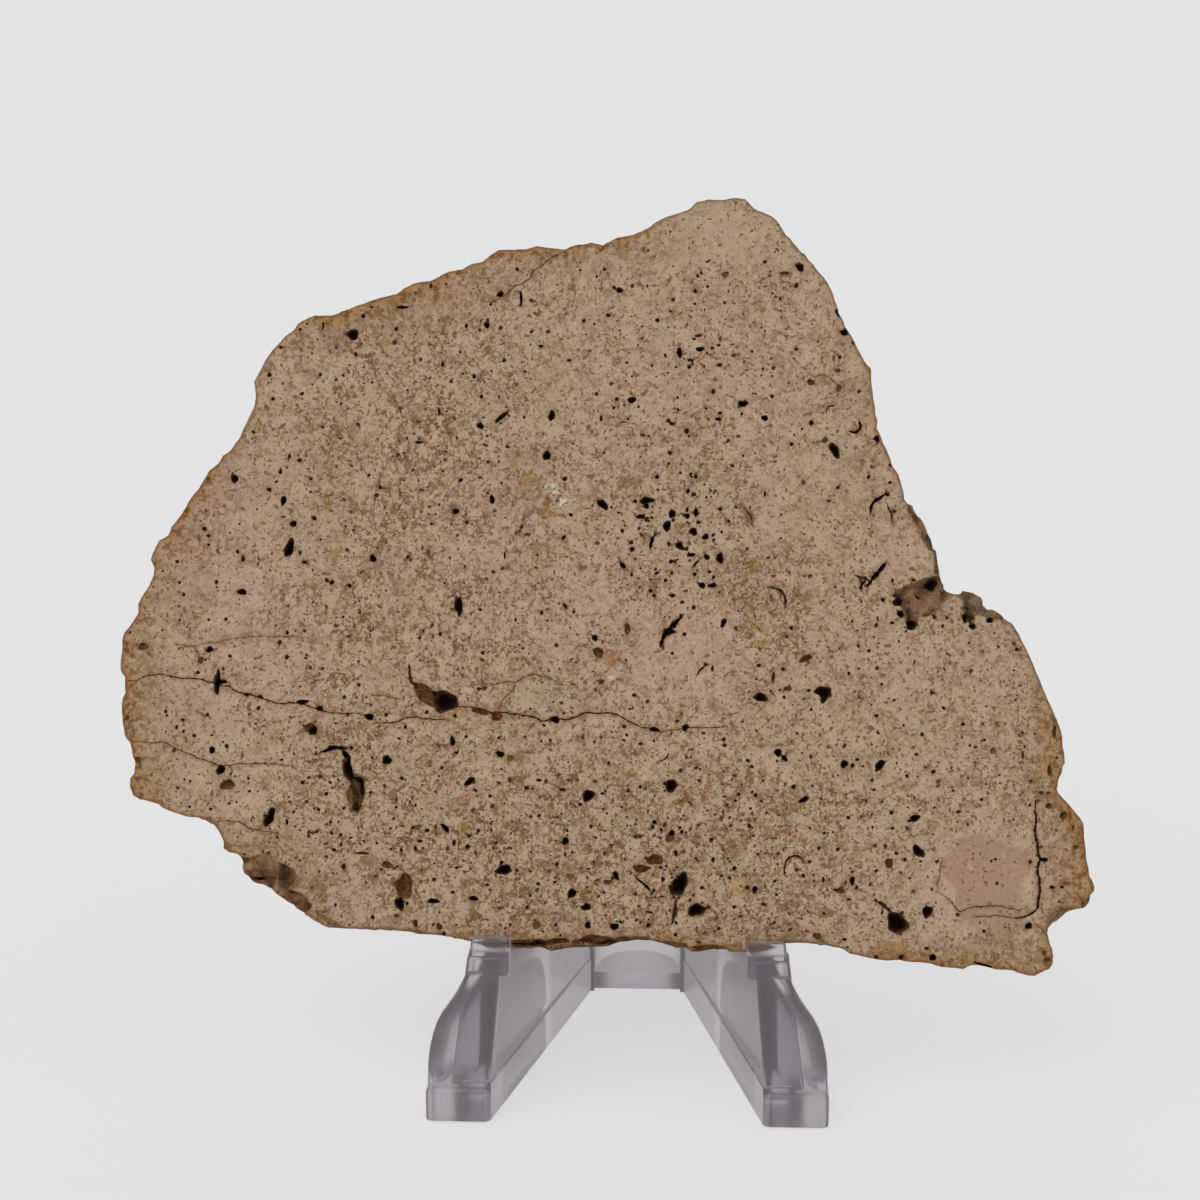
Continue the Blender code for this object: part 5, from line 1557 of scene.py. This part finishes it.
@dataclass(frozen=True)
class SueviteFinish:
    """Matt breccia: fragments, ash and specks in a pinkish grey ground."""

    pinkish: Tone = (180, 152, 132)
    greyish: Tone = (175, 154, 128)
    pale: Tone = (196, 176, 152)
    ash: Tone = (142, 115, 84)
    speck: Tone = (104, 75, 42)
    olive_speck: Tone = (120, 95, 58)
    dark_speck: Tone = (70, 44, 20)
    ochre: Tone = (150, 108, 64)
    rust: Tone = (110, 72, 36)
    halo: Tone = (122, 92, 58)
    broken: Tone = (142, 110, 77)
    crust: Tone = (96, 70, 46)

    def make(self) -> bpy.types.Material:
        """Make the stone's material.

        Returns:
            The material.
        """
        recipe = Recipe("suevite_stone")
        place = recipe.attribute("place", "Vector")
        zones = {
            name: recipe.node("ShaderNodeSeparateColor", None, {0: recipe.attribute("zones")}, output=order)
            for order, name in enumerate(("smooth", "weathered", "speckled"))}
        stone = self._ground(recipe, place)
        stone = self._stained(recipe, place, stone)
        stone = self._specked(recipe, place, stone, zones)
        stone = self._weathered(recipe, place, stone, zones)
        # The hollows' colour: brown and olive linings, and near-black painted shade in the deep cores.
        dusty = recipe.noise(place, 1.7, 5.0, roughness=0.7).ramp(0.35, 0.68, 0.4, 1.6)
        lining_and_shade_colour = recipe.shaded(recipe.attribute("lining_and_shade"), dusty)
        colour = recipe.mix(recipe.attribute("lining_and_shade", "Alpha"), stone, lining_and_shade_colour)
        shader = recipe.node("ShaderNodeBsdfPrincipled", None, {
            "Base Color": colour,
            "Roughness": recipe.noise(place, 1.5, 4.0).ramp(0.3, 0.7, 0.85, 0.97),
            "Normal": self._bump(recipe, place),
            "Specular IOR Level": 0.15,
        })
        return recipe.finish(Surface=shader)

    def _ground(self, recipe: Recipe, place: Value) -> Value:
        """The ash ground with its slow change of colour and its grain.

        Args:
            recipe: The stone's node tree.
            place: The place in the slab's plane.

        Returns:
            The ground's colour.
        """
        slow = recipe.noise(place, 0.09, 3.0) + recipe.attribute("zones", "Alpha") * 0.2
        ground = recipe.mix(slow.ramp(0.4, 0.75), linear(self.greyish), linear(self.pinkish))
        cloudy = recipe.noise(recipe.moved(place, (31.0, 7.0, 12.0)), 0.4, 5.0, roughness=0.62)
        fine = recipe.noise(place, 2.8, 4.0, roughness=0.7)
        return recipe.shaded(ground, cloudy.ramp(0.25, 0.75, 0.9, 1.06) * fine.ramp(0.25, 0.75, 0.88, 1.08))

    def _stained(self, recipe: Recipe, place: Value, stone: Value) -> Value:
        """Fragments of other stone, ragged and partly covered by the ash.

        Args:
            recipe: The stone's node tree.
            place: The place in the slab's plane.
            stone: The colour beneath.

        Returns:
            The colour with its fragments.
        """
        ragged = recipe.noise(place, 1.7, 4.0)
        edge = (recipe.attribute("grain", "Alpha") + (ragged - 0.5) * 0.4).ramp(0.44, 0.6)
        covered = recipe.noise(place, 2.3, 4.0, roughness=0.65).ramp(0.3, 0.7, 0.5, 0.95)
        return recipe.mix(edge * covered, stone, recipe.attribute("grain"))

    def _specked(self, recipe: Recipe, place: Value, stone: Value, zones: dict[str, Value]) -> Value:
        """Ash in the pores, thin curls, light grains and specks.

        Args:
            recipe: The stone's node tree.
            place: The place in the slab's plane.
            stone: The colour beneath.
            zones: How smooth, weathered and speckled the face is.

        Returns:
            The colour with its specks.
        """
        crowded = recipe.noise(place, 0.22, 3.0, roughness=0.6).ramp(0.3, 0.7, 0.55, 1.1)
        open_grain = (zones["speckled"] * 0.55 - zones["smooth"] * 0.5 + 0.72) * crowded
        warped = recipe.moved(recipe.noise(place, 1.3, 3.0, output="Color"), place, 1.3)
        light = (recipe.lot(warped, 0.8, 0) * 0.35 - recipe.cells(warped, 0.8)).ramp(0.08, 0.16)
        stone = recipe.mix(light * 0.4, stone, linear(self.pale))
        pores = recipe.noise(place, 0.9, 4.0, roughness=0.6, distortion=0.6).ramp(0.48, 0.7)
        stone = recipe.mix(pores * open_grain * 0.3, stone, linear(self.ash))
        stone = self._ringed(recipe, warped, stone, open_grain)
        tinted = recipe.mix(
            recipe.noise(place, 0.3, 3.0).ramp(0.45, 0.6), linear(self.speck), linear(self.olive_speck))
        for scale, shift, line in ((0.5, 21.0, 0.022), (1.0, 5.0, 0.05), (1.7, 40.0, 0.06)):
            wander = recipe.noise(recipe.moved(place, (shift, 40.0, 9.0)), scale, 1.5)
            curl = abs(wander - 0.5).ramp(line, line * 0.35)
            gaps = recipe.noise(recipe.moved(place, (9.0, shift, 2.0)), scale * 0.8, 2.0)
            stone = recipe.mix(curl * gaps.ramp(0.48, 0.58) * open_grain * 0.85, stone, tinted)
        for scale, least, shift, share, tone in (
                (1.6, 0.645, 3.0, 0.85, tinted), (2.3, 0.63, 12.0, 0.85, tinted),
                (3.3, 0.61, 27.0, 0.55, linear(self.ash)), (1.5, 0.67, 55.0, 0.95, linear(self.dark_speck))):
            spread = recipe.noise(recipe.moved(place, (shift, 2.0, 5.0)), scale, 1.0, roughness=0.4)
            shown = (spread + open_grain * 0.08 - 0.06).ramp(least, least + 0.04)
            stone = recipe.mix(shown * share, stone, tone)
        return stone

    def _ringed(self, recipe: Recipe, warped: Value, stone: Value, open_grain: Value) -> Value:
        """Small round fragments with a brown outline.

        Args:
            recipe: The stone's node tree.
            warped: The place in the slab's plane, slightly warped.
            stone: The colour beneath.
            open_grain: How open the grain is.

        Returns:
            The colour with its fragments.
        """
        for scale, tone in ((0.38, self.ash), (0.62, self.olive_speck)):
            lot = recipe.lot(warped, scale, 1)
            reach = lot * 0.55 - recipe.cells(warped, scale)
            picked = lot.ramp(0.5, 0.55) * open_grain
            stone = recipe.mix(reach.ramp(0.0, 0.05) * picked * 0.22, stone, linear(tone))
            stone = recipe.mix(abs(reach).ramp(0.06, 0.02) * picked * 0.75, stone, linear(self.speck))
        return stone

    def _weathered(self, recipe: Recipe, place: Value, stone: Value, zones: dict[str, Value]) -> Value:
        """Brown halos of the pits, the weathered edge with a painted shade line along the outline, and the
        broken rim with painted shade in its chips' crevices.

        Args:
            recipe: The stone's node tree.
            place: The place in the slab's plane.
            stone: The colour beneath.
            zones: How smooth, weathered and speckled the face is.

        Returns:
            The colour with its weathering.
        """
        ragged = recipe.noise(place, 1.1, 5.0, roughness=0.65)
        patchy = recipe.noise(place, 0.5, 5.0, roughness=0.65)
        halo = recipe.attribute("halo", "Fac") * ragged.ramp(0.35, 0.6)
        stone = recipe.mix(halo * 0.9, stone, linear(self.halo))
        edge = recipe.attribute("edge", "Fac")
        worn = edge * (zones["weathered"] * 0.6 + 0.25)
        skin = (zones["weathered"] * 0.5 + worn) * patchy.ramp(0.35, 0.65, 0.4, 1.0)
        bare = 0.9 - recipe.attribute("grain", "Alpha").ramp(0.4, 0.6) * 0.6
        stone = recipe.mix(skin.ramp(0.0, 1.1) * bare * 0.94, stone, linear(self.ochre))
        # Rust in the weathered places, and a thin dark rust-coloured line along the outline that is painted
        # shade of the rounded edge.
        rust_and_edge_shade = ((zones["weathered"] * 0.6 + worn) * ragged.ramp(0.48, 0.6)).most(edge.ramp(0.7, 0.95) * 0.7)
        stone = recipe.mix(rust_and_edge_shade * 0.9, stone, linear(self.rust))
        broken = recipe.attribute("broken", "Fac")
        patches = recipe.mix(patchy.ramp(0.42, 0.6), linear(self.broken), linear(self.crust))
        # Random dark patches, and painted shade in the deeper crevices of the chips.
        crevice_shade = ragged.ramp(0.52, 0.62).most(broken.ramp(1.25, 1.7))
        patches = recipe.mix(crevice_shade * 0.85, patches, linear(self.dark_speck))
        return recipe.mix(broken.ramp(0.2, 0.7) * bare, stone, patches)

    def _bump(self, recipe: Recipe, place: Value) -> Value:
        """Fine roughness of the sawn and the broken stone.

        Args:
            recipe: The stone's node tree.
            place: The place in the slab's plane.

        Returns:
            The bent normal.
        """
        fine = recipe.noise(place, 2.2, 6.0, roughness=0.7)
        tiny = recipe.noise(place, 7.0, 3.0, roughness=0.7)
        return recipe.node(
            "ShaderNodeBump", None, {"Height": fine + tiny * 0.4, "Strength": 0.5, "Distance": 0.15 * MM})


@dataclass(frozen=True)
class ClearPlasticFinish:
    """Smoky clear moulded plastic."""

    tint: Tone = (223, 219, 223)
    absorbed: Row = (0.735, 0.685, 0.72)
    density: float = 112.0
    roughness: float = 0.3
    bending: float = 1.49

    def make(self) -> bpy.types.Material:
        """Make the plastic's material.

        Returns:
            The material.
        """
        recipe = Recipe("clear_moulded_plastic")
        shader = recipe.node("ShaderNodeBsdfPrincipled", None, {
            "Base Color": (*linear(self.tint), 1.0),
            "Roughness": self.roughness,
            "IOR": self.bending,
            "Transmission Weight": 1.0,
        })
        volume = recipe.node(
            "ShaderNodeVolumeAbsorption", None, {"Color": (*self.absorbed, 1.0), "Density": self.density})
        return recipe.finish(Surface=shader, Volume=volume)


@dataclass
class Easel:
    """The clear moulded stand, joined from its forms."""

    foot_x: Point = (14.7, 21.8)
    foot_height: float = 3.8
    foot_length: float = 9.0
    foot_soft: float = 0.8
    post_foot_x: Point = (15.2, 19.85)
    post_top_x: Point = (13.6, 17.3)
    post_front_y: Point = (0.5, 2.7)
    post_depth: float = 4.2
    seat_w: float = -0.75
    lip_x: Point = (12.8, 17.0)
    lip_thickness: float = 2.8
    lip_behind: float = 2.0
    lip_w: Point = (-3.15, 0.9)
    rail_height: float = 4.3
    rail_width: Point = (3.4, 2.1)
    rail_front: Point = (14.7, 0.6)
    rail_rear: Point = (5.15, 40.0)
    web_thickness: float = 2.0
    web_front: Point = (16.2, 2.0)
    web_rear: Point = (6.25, 40.0)
    web_side: Line = (
        (0.0, -2.0), (1.6, 17.4), (6.0, 18.2), (23.0, 57.0), (23.3, 57.7), (23.8, 58.2), (24.6, 58.4),
        (28.4, 58.4), (29.3, 58.1), (30.2, 57.4), (30.7, 56.5), (31.0, 55.4), (32.0, 49.8), (33.4, 44.0),
        (34.6, 38.9), (36.2, 34.0), (37.7, 30.2), (39.6, 27.0), (41.0, 25.2), (42.5, 24.0), (42.5, -2.0))
    hip_outer: Line = (
        (21.75, 3.0), (21.7, 5.6), (21.62, 6.7), (21.48, 7.7), (21.1, 9.4), (20.7, 10.6), (20.1, 11.8),
        (19.3, 12.95), (18.6, 14.0), (18.0, 15.1), (17.4, 16.4))
    hip_thickness: float = 1.9
    hip_start: float = 1.4
    hip_length: float = 25.0
    hip_spans: int = 14
    hip_nose: tuple[Point, ...] = ((0.0, 0.16), (0.08, 0.42), (0.22, 0.66), (0.45, 0.87), (0.75, 0.98))
    hip_narrowing: float = 0.85
    hip_easing: float = 1.6
    plate_thickness: float = 2.1
    plate_front_y: float = 38.9
    wall_centre_y: float = 40.0
    wall_inner: Point = (5.2, 6.4)
    wall_outer: Point = (7.25, 8.8)
    wall_height: float = 23.0
    wall_overlap: float = 2.0
    wall_sides: int = 40
    undercut: float = 2.0
    soft: float = 0.45
    soft_steps: int = 3
    stagger: float = 0.15
    hip_overlap: float = 0.1
    sharp_angle: float = 35.0
    space_half: float = 30.0
    space_height: float = 90.0
    space_soft: float = 0.2
    floor_x: Point = (-40.0, 40.0)
    floor_y: Point = (-10.0, 70.0)
    floor_depth: float = 10.0
    guides: list[bpy.types.Object] = field(default_factory=list)

    def _object(self, name: str, bm: bmesh.types.BMesh) -> bpy.types.Object:
        """Make an object from a bmesh in the easel's frame.

        Args:
            name: The form's name.
            bm: Its shape, which is freed.

        Returns:
            The object, which is noted as a guide.
        """
        bmesh.ops.recalc_face_normals(bm, faces=bm.faces)
        mesh = bpy.data.meshes.new(name)
        bm.to_mesh(mesh)
        bm.free()
        made = linked(name, mesh)
        self.guides.append(made)
        return made

    def _block(
        self, name: str, low: tuple[Any, Any, float], high: tuple[Any, Any, float], soft: float,
        place: Matrix | None = None,
    ) -> bpy.types.Object:
        """A block between two rectangles with rounded edges.

        Args:
            name: The block's name.
            low: X range, Y range and Z of the bottom.
            high: X range, Y range and Z of the top.
            soft: The radius of the edges.
            place: Where the block goes.

        Returns:
            The block.
        """
        bm = bmesh.new()
        bmesh.ops.create_cube(bm, size=1.0)
        for vert in bm.verts:
            x_range, y_range, z = high if vert.co.z > 0 else low
            x = max(x_range) if vert.co.x > 0 else min(x_range)
            y = max(y_range) if vert.co.y > 0 else min(y_range)
            vert.co = Vector((x, y, z))
        if soft:
            bmesh.ops.bevel(
                bm, geom=bm.edges[:], offset=soft, segments=self.soft_steps, profile=0.5, affect="EDGES")
        if place:
            bm.transform(place)
        return self._object(name, bm)

    def _extruded(
        self, name: str, outline: Sequence[Point], low: float, high: float, soft: float = 0.0,
        place: Matrix | None = None,
    ) -> bpy.types.Object:
        """A flat outline given a thickness.

        Args:
            name: The form's name.
            outline: The closed outline.
            low: Where the thickness starts.
            high: Where it ends.
            soft: The radius of the long edges.
            place: Where the form goes.

        Returns:
            The form.
        """
        bm = bmesh.new()
        face = bm.faces.new([bm.verts.new((x, y, low)) for x, y in outline])
        lifted = bmesh.ops.extrude_face_region(bm, geom=[face])["geom"]
        tops = [v for v in lifted if isinstance(v, bmesh.types.BMVert)]
        bmesh.ops.translate(bm, vec=(0.0, 0.0, high - low), verts=tops)
        if soft:
            rims = [e for e in bm.edges if abs(e.verts[0].co.z - e.verts[1].co.z) < 1e-6]
            bmesh.ops.bevel(
                bm, geom=rims, offset=soft, segments=self.soft_steps, profile=0.5, affect="EDGES")
        if place:
            bm.transform(place)
        return self._object(name, bm)

    def _leaning(self) -> Matrix:
        """The slab's plane in the easel's frame."""
        return Matrix.Translation(SLAB_FOOT) @ Matrix.Rotation(-SLAB_LEAN, 4, "X")

    def _below(self, step: int) -> float:
        """A depth under the surface, of its own for each form so that no two ends lie flat on each other."""
        return -self.undercut - self.stagger * step

    def _foot(self, side: int) -> bpy.types.Object:
        """The block under a post.

        Args:
            side: -1 for the left and 1 for the right.

        Returns:
            The block.
        """
        x_range, y_range = [side * x for x in self.foot_x], (0.0, self.foot_length)
        low, high = (x_range, y_range, self._below(1)), (x_range, y_range, self.foot_height)
        return self._block("foot", low, high, self.foot_soft)

    def _post(self, side: int) -> bpy.types.Object:
        """The upright that carries a lip.

        Args:
            side: -1 for the left and 1 for the right.

        Returns:
            The upright.
        """
        near, far = self.post_front_y
        low = ([side * x for x in self.post_foot_x], (near, near + self.post_depth), self._below(2))
        high = ([side * x for x in self.post_top_x], (far, far + self.post_depth), SLAB_FOOT.z)
        return self._block("post", low, high, self.soft)

    def _lip(self, side: int) -> bpy.types.Object:
        """The hook in front of the slab.

        Args:
            side: -1 for the left and 1 for the right.

        Returns:
            The hook.
        """
        x_range = [side * x for x in self.lip_x]
        y_range = (-REST_GAP - self.lip_thickness, self.lip_behind)
        low, high = (x_range, y_range, self.lip_w[0]), (x_range, y_range, self.lip_w[1])
        return self._block("lip", low, high, self.soft, self._leaning())

    def _web(self, side: int) -> bpy.types.Object:
        """The thin wall that rises behind the slab.

        Args:
            side: -1 for the left and 1 for the right.

        Returns:
            The wall.
        """
        run = Vector((self.web_rear[0] - self.web_front[0], self.web_rear[1] - self.web_front[1]))
        along = Vector((side * run.x, run.y, 0.0)).normalized()
        across = Vector((0.0, 0.0, 1.0)).cross(along)
        place = Matrix((
            (along.x, 0.0, -across.x, side * self.web_front[0]),
            (along.y, 0.0, -across.y, self.web_front[1]),
            (0.0, 1.0, 0.0, 0.0),
            (0.0, 0.0, 0.0, 1.0),
        ))
        half = self.web_thickness / 2
        return self._extruded("web", self.web_side, -half, half, SOFT_EDGE, place)

    def _rail(self, side: int) -> bpy.types.Object:
        """The base rail under the web.

        Args:
            side: -1 for the left and 1 for the right.

        Returns:
            The rail.
        """
        front, rear = Vector(self.rail_front), Vector(self.rail_rear)
        corners = (
            front, front + Vector((self.rail_width[0], 0.0)), rear + Vector((self.rail_width[1], 0.0)), rear)
        outline = [(side * c.x, c.y) for c in corners]
        return self._extruded("rail", outline, self._below(3), self.rail_height, SOFT_EDGE)

    def _hip(self, side: int) -> bpy.types.Object:
        """The curved wing outside a post.

        Args:
            side: -1 for the left and 1 for the right.

        Returns:
            The wing.
        """
        outer = [(self.foot_x[1] - self.hip_overlap, self._below(4))] + list(self.hip_outer)
        slope = (self.web_front[0] - self.web_rear[0]) / (self.web_rear[1] - self.web_front[1])
        spans = [self.hip_length * step / self.hip_spans for step in range(1, self.hip_spans + 1)]
        bm = bmesh.new()
        stations = []
        for back, full in self.hip_nose + tuple((span, 1.0) for span in spans):
            y = self.hip_start + back
            web_x = self.web_front[0] - slope * (y - self.web_front[1])
            reach = 1.0 - self.hip_narrowing * (back / self.hip_length) ** self.hip_easing
            thinned = (1.0 - full) * self.hip_thickness / 2
            section = [(x - thinned, z) for x, z in outer]
            section += [(x - self.hip_thickness + thinned, z) for x, z in reversed(outer)]
            shifted = [(web_x + (x - self.web_front[0]) * reach, z) for x, z in section]
            stations.append([bm.verts.new((side * x, y, z)) for x, z in shifted])
        for near, far in zip(stations, stations[1:]):
            for index in range(len(section)):
                bm.faces.new((near[index - 1], near[index], far[index], far[index - 1]))
        bm.faces.new(stations[0])
        bm.faces.new(stations[-1])
        return self._object("hip", bm)

    def _arc(self, radii: Point, start_y: float) -> list[Point]:
        """Half an ellipse behind the rails, carried forward to a start.

        Args:
            radii: The ellipse's half width and half length.
            start_y: Where its straight ends start.

        Returns:
            The curve from the right to the left.
        """
        angles = [math.pi * index / self.wall_sides for index in range(self.wall_sides + 1)]
        curve = [(radii[0] * math.cos(a), self.wall_centre_y + radii[1] * math.sin(a)) for a in angles]
        return [(radii[0], start_y)] + curve + [(-radii[0], start_y)]

    def _rear(self) -> tuple[bpy.types.Object, bpy.types.Object]:
        """The half-moon plate and the curved wall around it.

        Returns:
            The plate and the wall.
        """
        middle = tuple(sum(pair) / 2 for pair in zip(self.wall_inner, self.wall_outer))
        plate = self._extruded(
            "plate", self._arc(middle, self.plate_front_y), self._below(5), self.plate_thickness)
        start = self.wall_centre_y - self.wall_overlap
        outline = self._arc(self.wall_outer, start) + self._arc(self.wall_inner, start)[::-1]
        return plate, self._extruded("wall", outline, self._below(6), self.wall_height, SOFT_EDGE)

    def _spaces(self) -> tuple[bpy.types.Object, bpy.types.Object]:
        """The room for the slab and everything below the surface.

        Returns:
            The two blocks that are cut away.
        """
        around = ((-self.space_half, self.space_half), (-REST_GAP, SLAB_THICKNESS + REST_GAP))
        low, high = (*around, self.seat_w), (*around, self.space_height)
        room = self._block("slab_space", low, high, self.space_soft, self._leaning())
        around = (self.floor_x, self.floor_y)
        return room, self._block("below", (*around, -self.floor_depth), (*around, 0.0), 0.0)

    def build(self, bench: Bench) -> bpy.types.Object:
        """Build the easel in its place.

        Args:
            bench: The places of the model's frames.

        Returns:
            The easel as one closed mesh.
        """
        plate, wall = self._rear()
        joined = [(wall, "UNION")]
        for side in (-1, 1):
            for form in (self._web, self._rail, self._foot, self._post, self._lip, self._hip):
                joined.append((form(side), "UNION"))
        joined += [(space, "DIFFERENCE") for space in self._spaces()]
        for other, operation in joined:
            cut = plate.modifiers.new(other.name, "BOOLEAN")
            cut.operation, cut.solver, cut.object = operation, "EXACT", other
        bpy.context.view_layer.update()
        mesh = bpy.data.meshes.new_from_object(plate.evaluated_get(bpy.context.evaluated_depsgraph_get()))
        for guide in self.guides:
            spare = guide.data
            bpy.data.objects.remove(guide)
            bpy.data.meshes.remove(spare)
        mesh.transform(bench.easel)
        mesh.shade_smooth()
        mesh.set_sharp_from_angle(angle=math.radians(self.sharp_angle))
        made = linked("clear_easel", mesh)
        flats = made.modifiers.new("flat_faces_stay_flat", "WEIGHTED_NORMAL")
        flats.mode, flats.weight, flats.keep_sharp = "FACE_AREA", 100, True
        return made


@dataclass
class Studio:
    """A pale floor under soft light, and the camera."""

    floor_reach: float = 60.0
    floor_tone: float = 0.15
    floor_glow: float = 0.62
    floor_gap: float = 0.3 * MM
    sky: float = 0.78
    key_strength: float = 0.95
    key_angle: float = 40.0
    key_from: Point = (-35.0, 50.0)
    azimuth: float = 2.5
    elevation: float = 14.0
    distance: float = 300.0
    aside: float = -2.862
    above: float = 56.646
    lens: float = 83.333
    film: float = 36.0

    def floor(self) -> None:
        """Lay the plain floor."""
        mesh = bpy.data.meshes.new("studio_floor")
        far, low = self.floor_reach, -self.floor_gap
        corners = [(-far, -far, low), (far, -far, low), (far, far, low), (-far, far, low)]
        mesh.from_pydata(corners, [], [(0, 1, 2, 3)])
        made = linked("studio_floor", mesh)
        recipe = Recipe("studio_floor_paper")
        shader = recipe.node("ShaderNodeBsdfPrincipled", None, {
            "Base Color": (self.floor_tone, self.floor_tone, self.floor_tone, 1.0),
            "Roughness": 1.0,
            "Specular IOR Level": 0.0,
            "Emission Color": (*WHITE, 1.0),
            "Emission Strength": self.floor_glow,
        })
        mesh.materials.append(recipe.finish(Surface=shader))

    def lights(self) -> None:
        """Soft light all round and a wide key from the upper left."""
        world = bpy.data.worlds.new("studio_sky")
        world.use_nodes = True
        inputs = world.node_tree.nodes["Background"].inputs
        inputs["Color"].default_value = (*WHITE, 1.0)
        inputs["Strength"].default_value = self.sky
        bpy.context.scene.world = world
        lamp = bpy.data.lights.new("studio_key", "SUN")
        lamp.energy = self.key_strength
        lamp.angle = math.radians(self.key_angle)
        key = linked("studio_key", lamp)
        azimuth, elevation = (math.radians(angle) for angle in self.key_from)
        key.rotation_euler = (math.pi / 2 - elevation, 0.0, azimuth)

    def camera(self, bench: Bench) -> None:
        """Set the camera in front of the slab.

        Args:
            bench: The places of the model's frames.
        """
        turn, rise = math.radians(self.azimuth), math.radians(self.elevation)
        right = Vector((math.cos(turn), math.sin(turn), 0.0))
        back = Vector((math.sin(turn) * math.cos(rise), -math.cos(turn) * math.cos(rise), math.sin(rise)))
        up = back.cross(right)
        stand = bench.easel @ (right * self.aside + up * self.above + back * self.distance)
        data = bpy.data.cameras.new("studio_camera")
        data.sensor_width, data.lens = self.film, self.lens
        data.clip_start, data.clip_end = 0.01, 1000.0
        made = linked("studio_camera", data)
        turned = Matrix((right, up, back)).transposed().to_4x4()
        made.matrix_world = Matrix.Translation(stand) @ turned
        bpy.context.scene.camera = made


def dressed(made: bpy.types.Object, material: bpy.types.Material, node: str) -> None:
    """Give a piece its finish and set it in the place of its node.

    Args:
        made: The piece.
        material: Its finish.
        node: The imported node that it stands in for.
    """
    made.data.materials.clear()
    made.data.materials.append(material)
    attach(made, "root")
    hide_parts(node)
    LOG.info("%s: %d faces for %s", made.name, len(made.data.polygons), node)


def main() -> None:
    """Build the slab, the easel and the studio."""
    logging.basicConfig(level=logging.INFO)
    bpy.context.scene.view_settings.view_transform = "Standard"
    bpy.context.scene.cycles.max_bounces = LIGHT_STEPS
    bpy.context.scene.cycles.transmission_bounces = LIGHT_STEPS
    bpy.context.scene.cycles.glossy_bounces = LIGHT_STEPS
    bench = Bench.from_frame()
    slab = SuevitePlate().build(bench)
    dressed(slab, SueviteFinish().make(), "suevite_slab")
    easel = Easel().build(bench)
    dressed(easel, ClearPlasticFinish().make(), "display_stand")
    studio = Studio()
    studio.floor()
    studio.lights()
    studio.camera(bench)


if __name__ == "__main__":
    main()
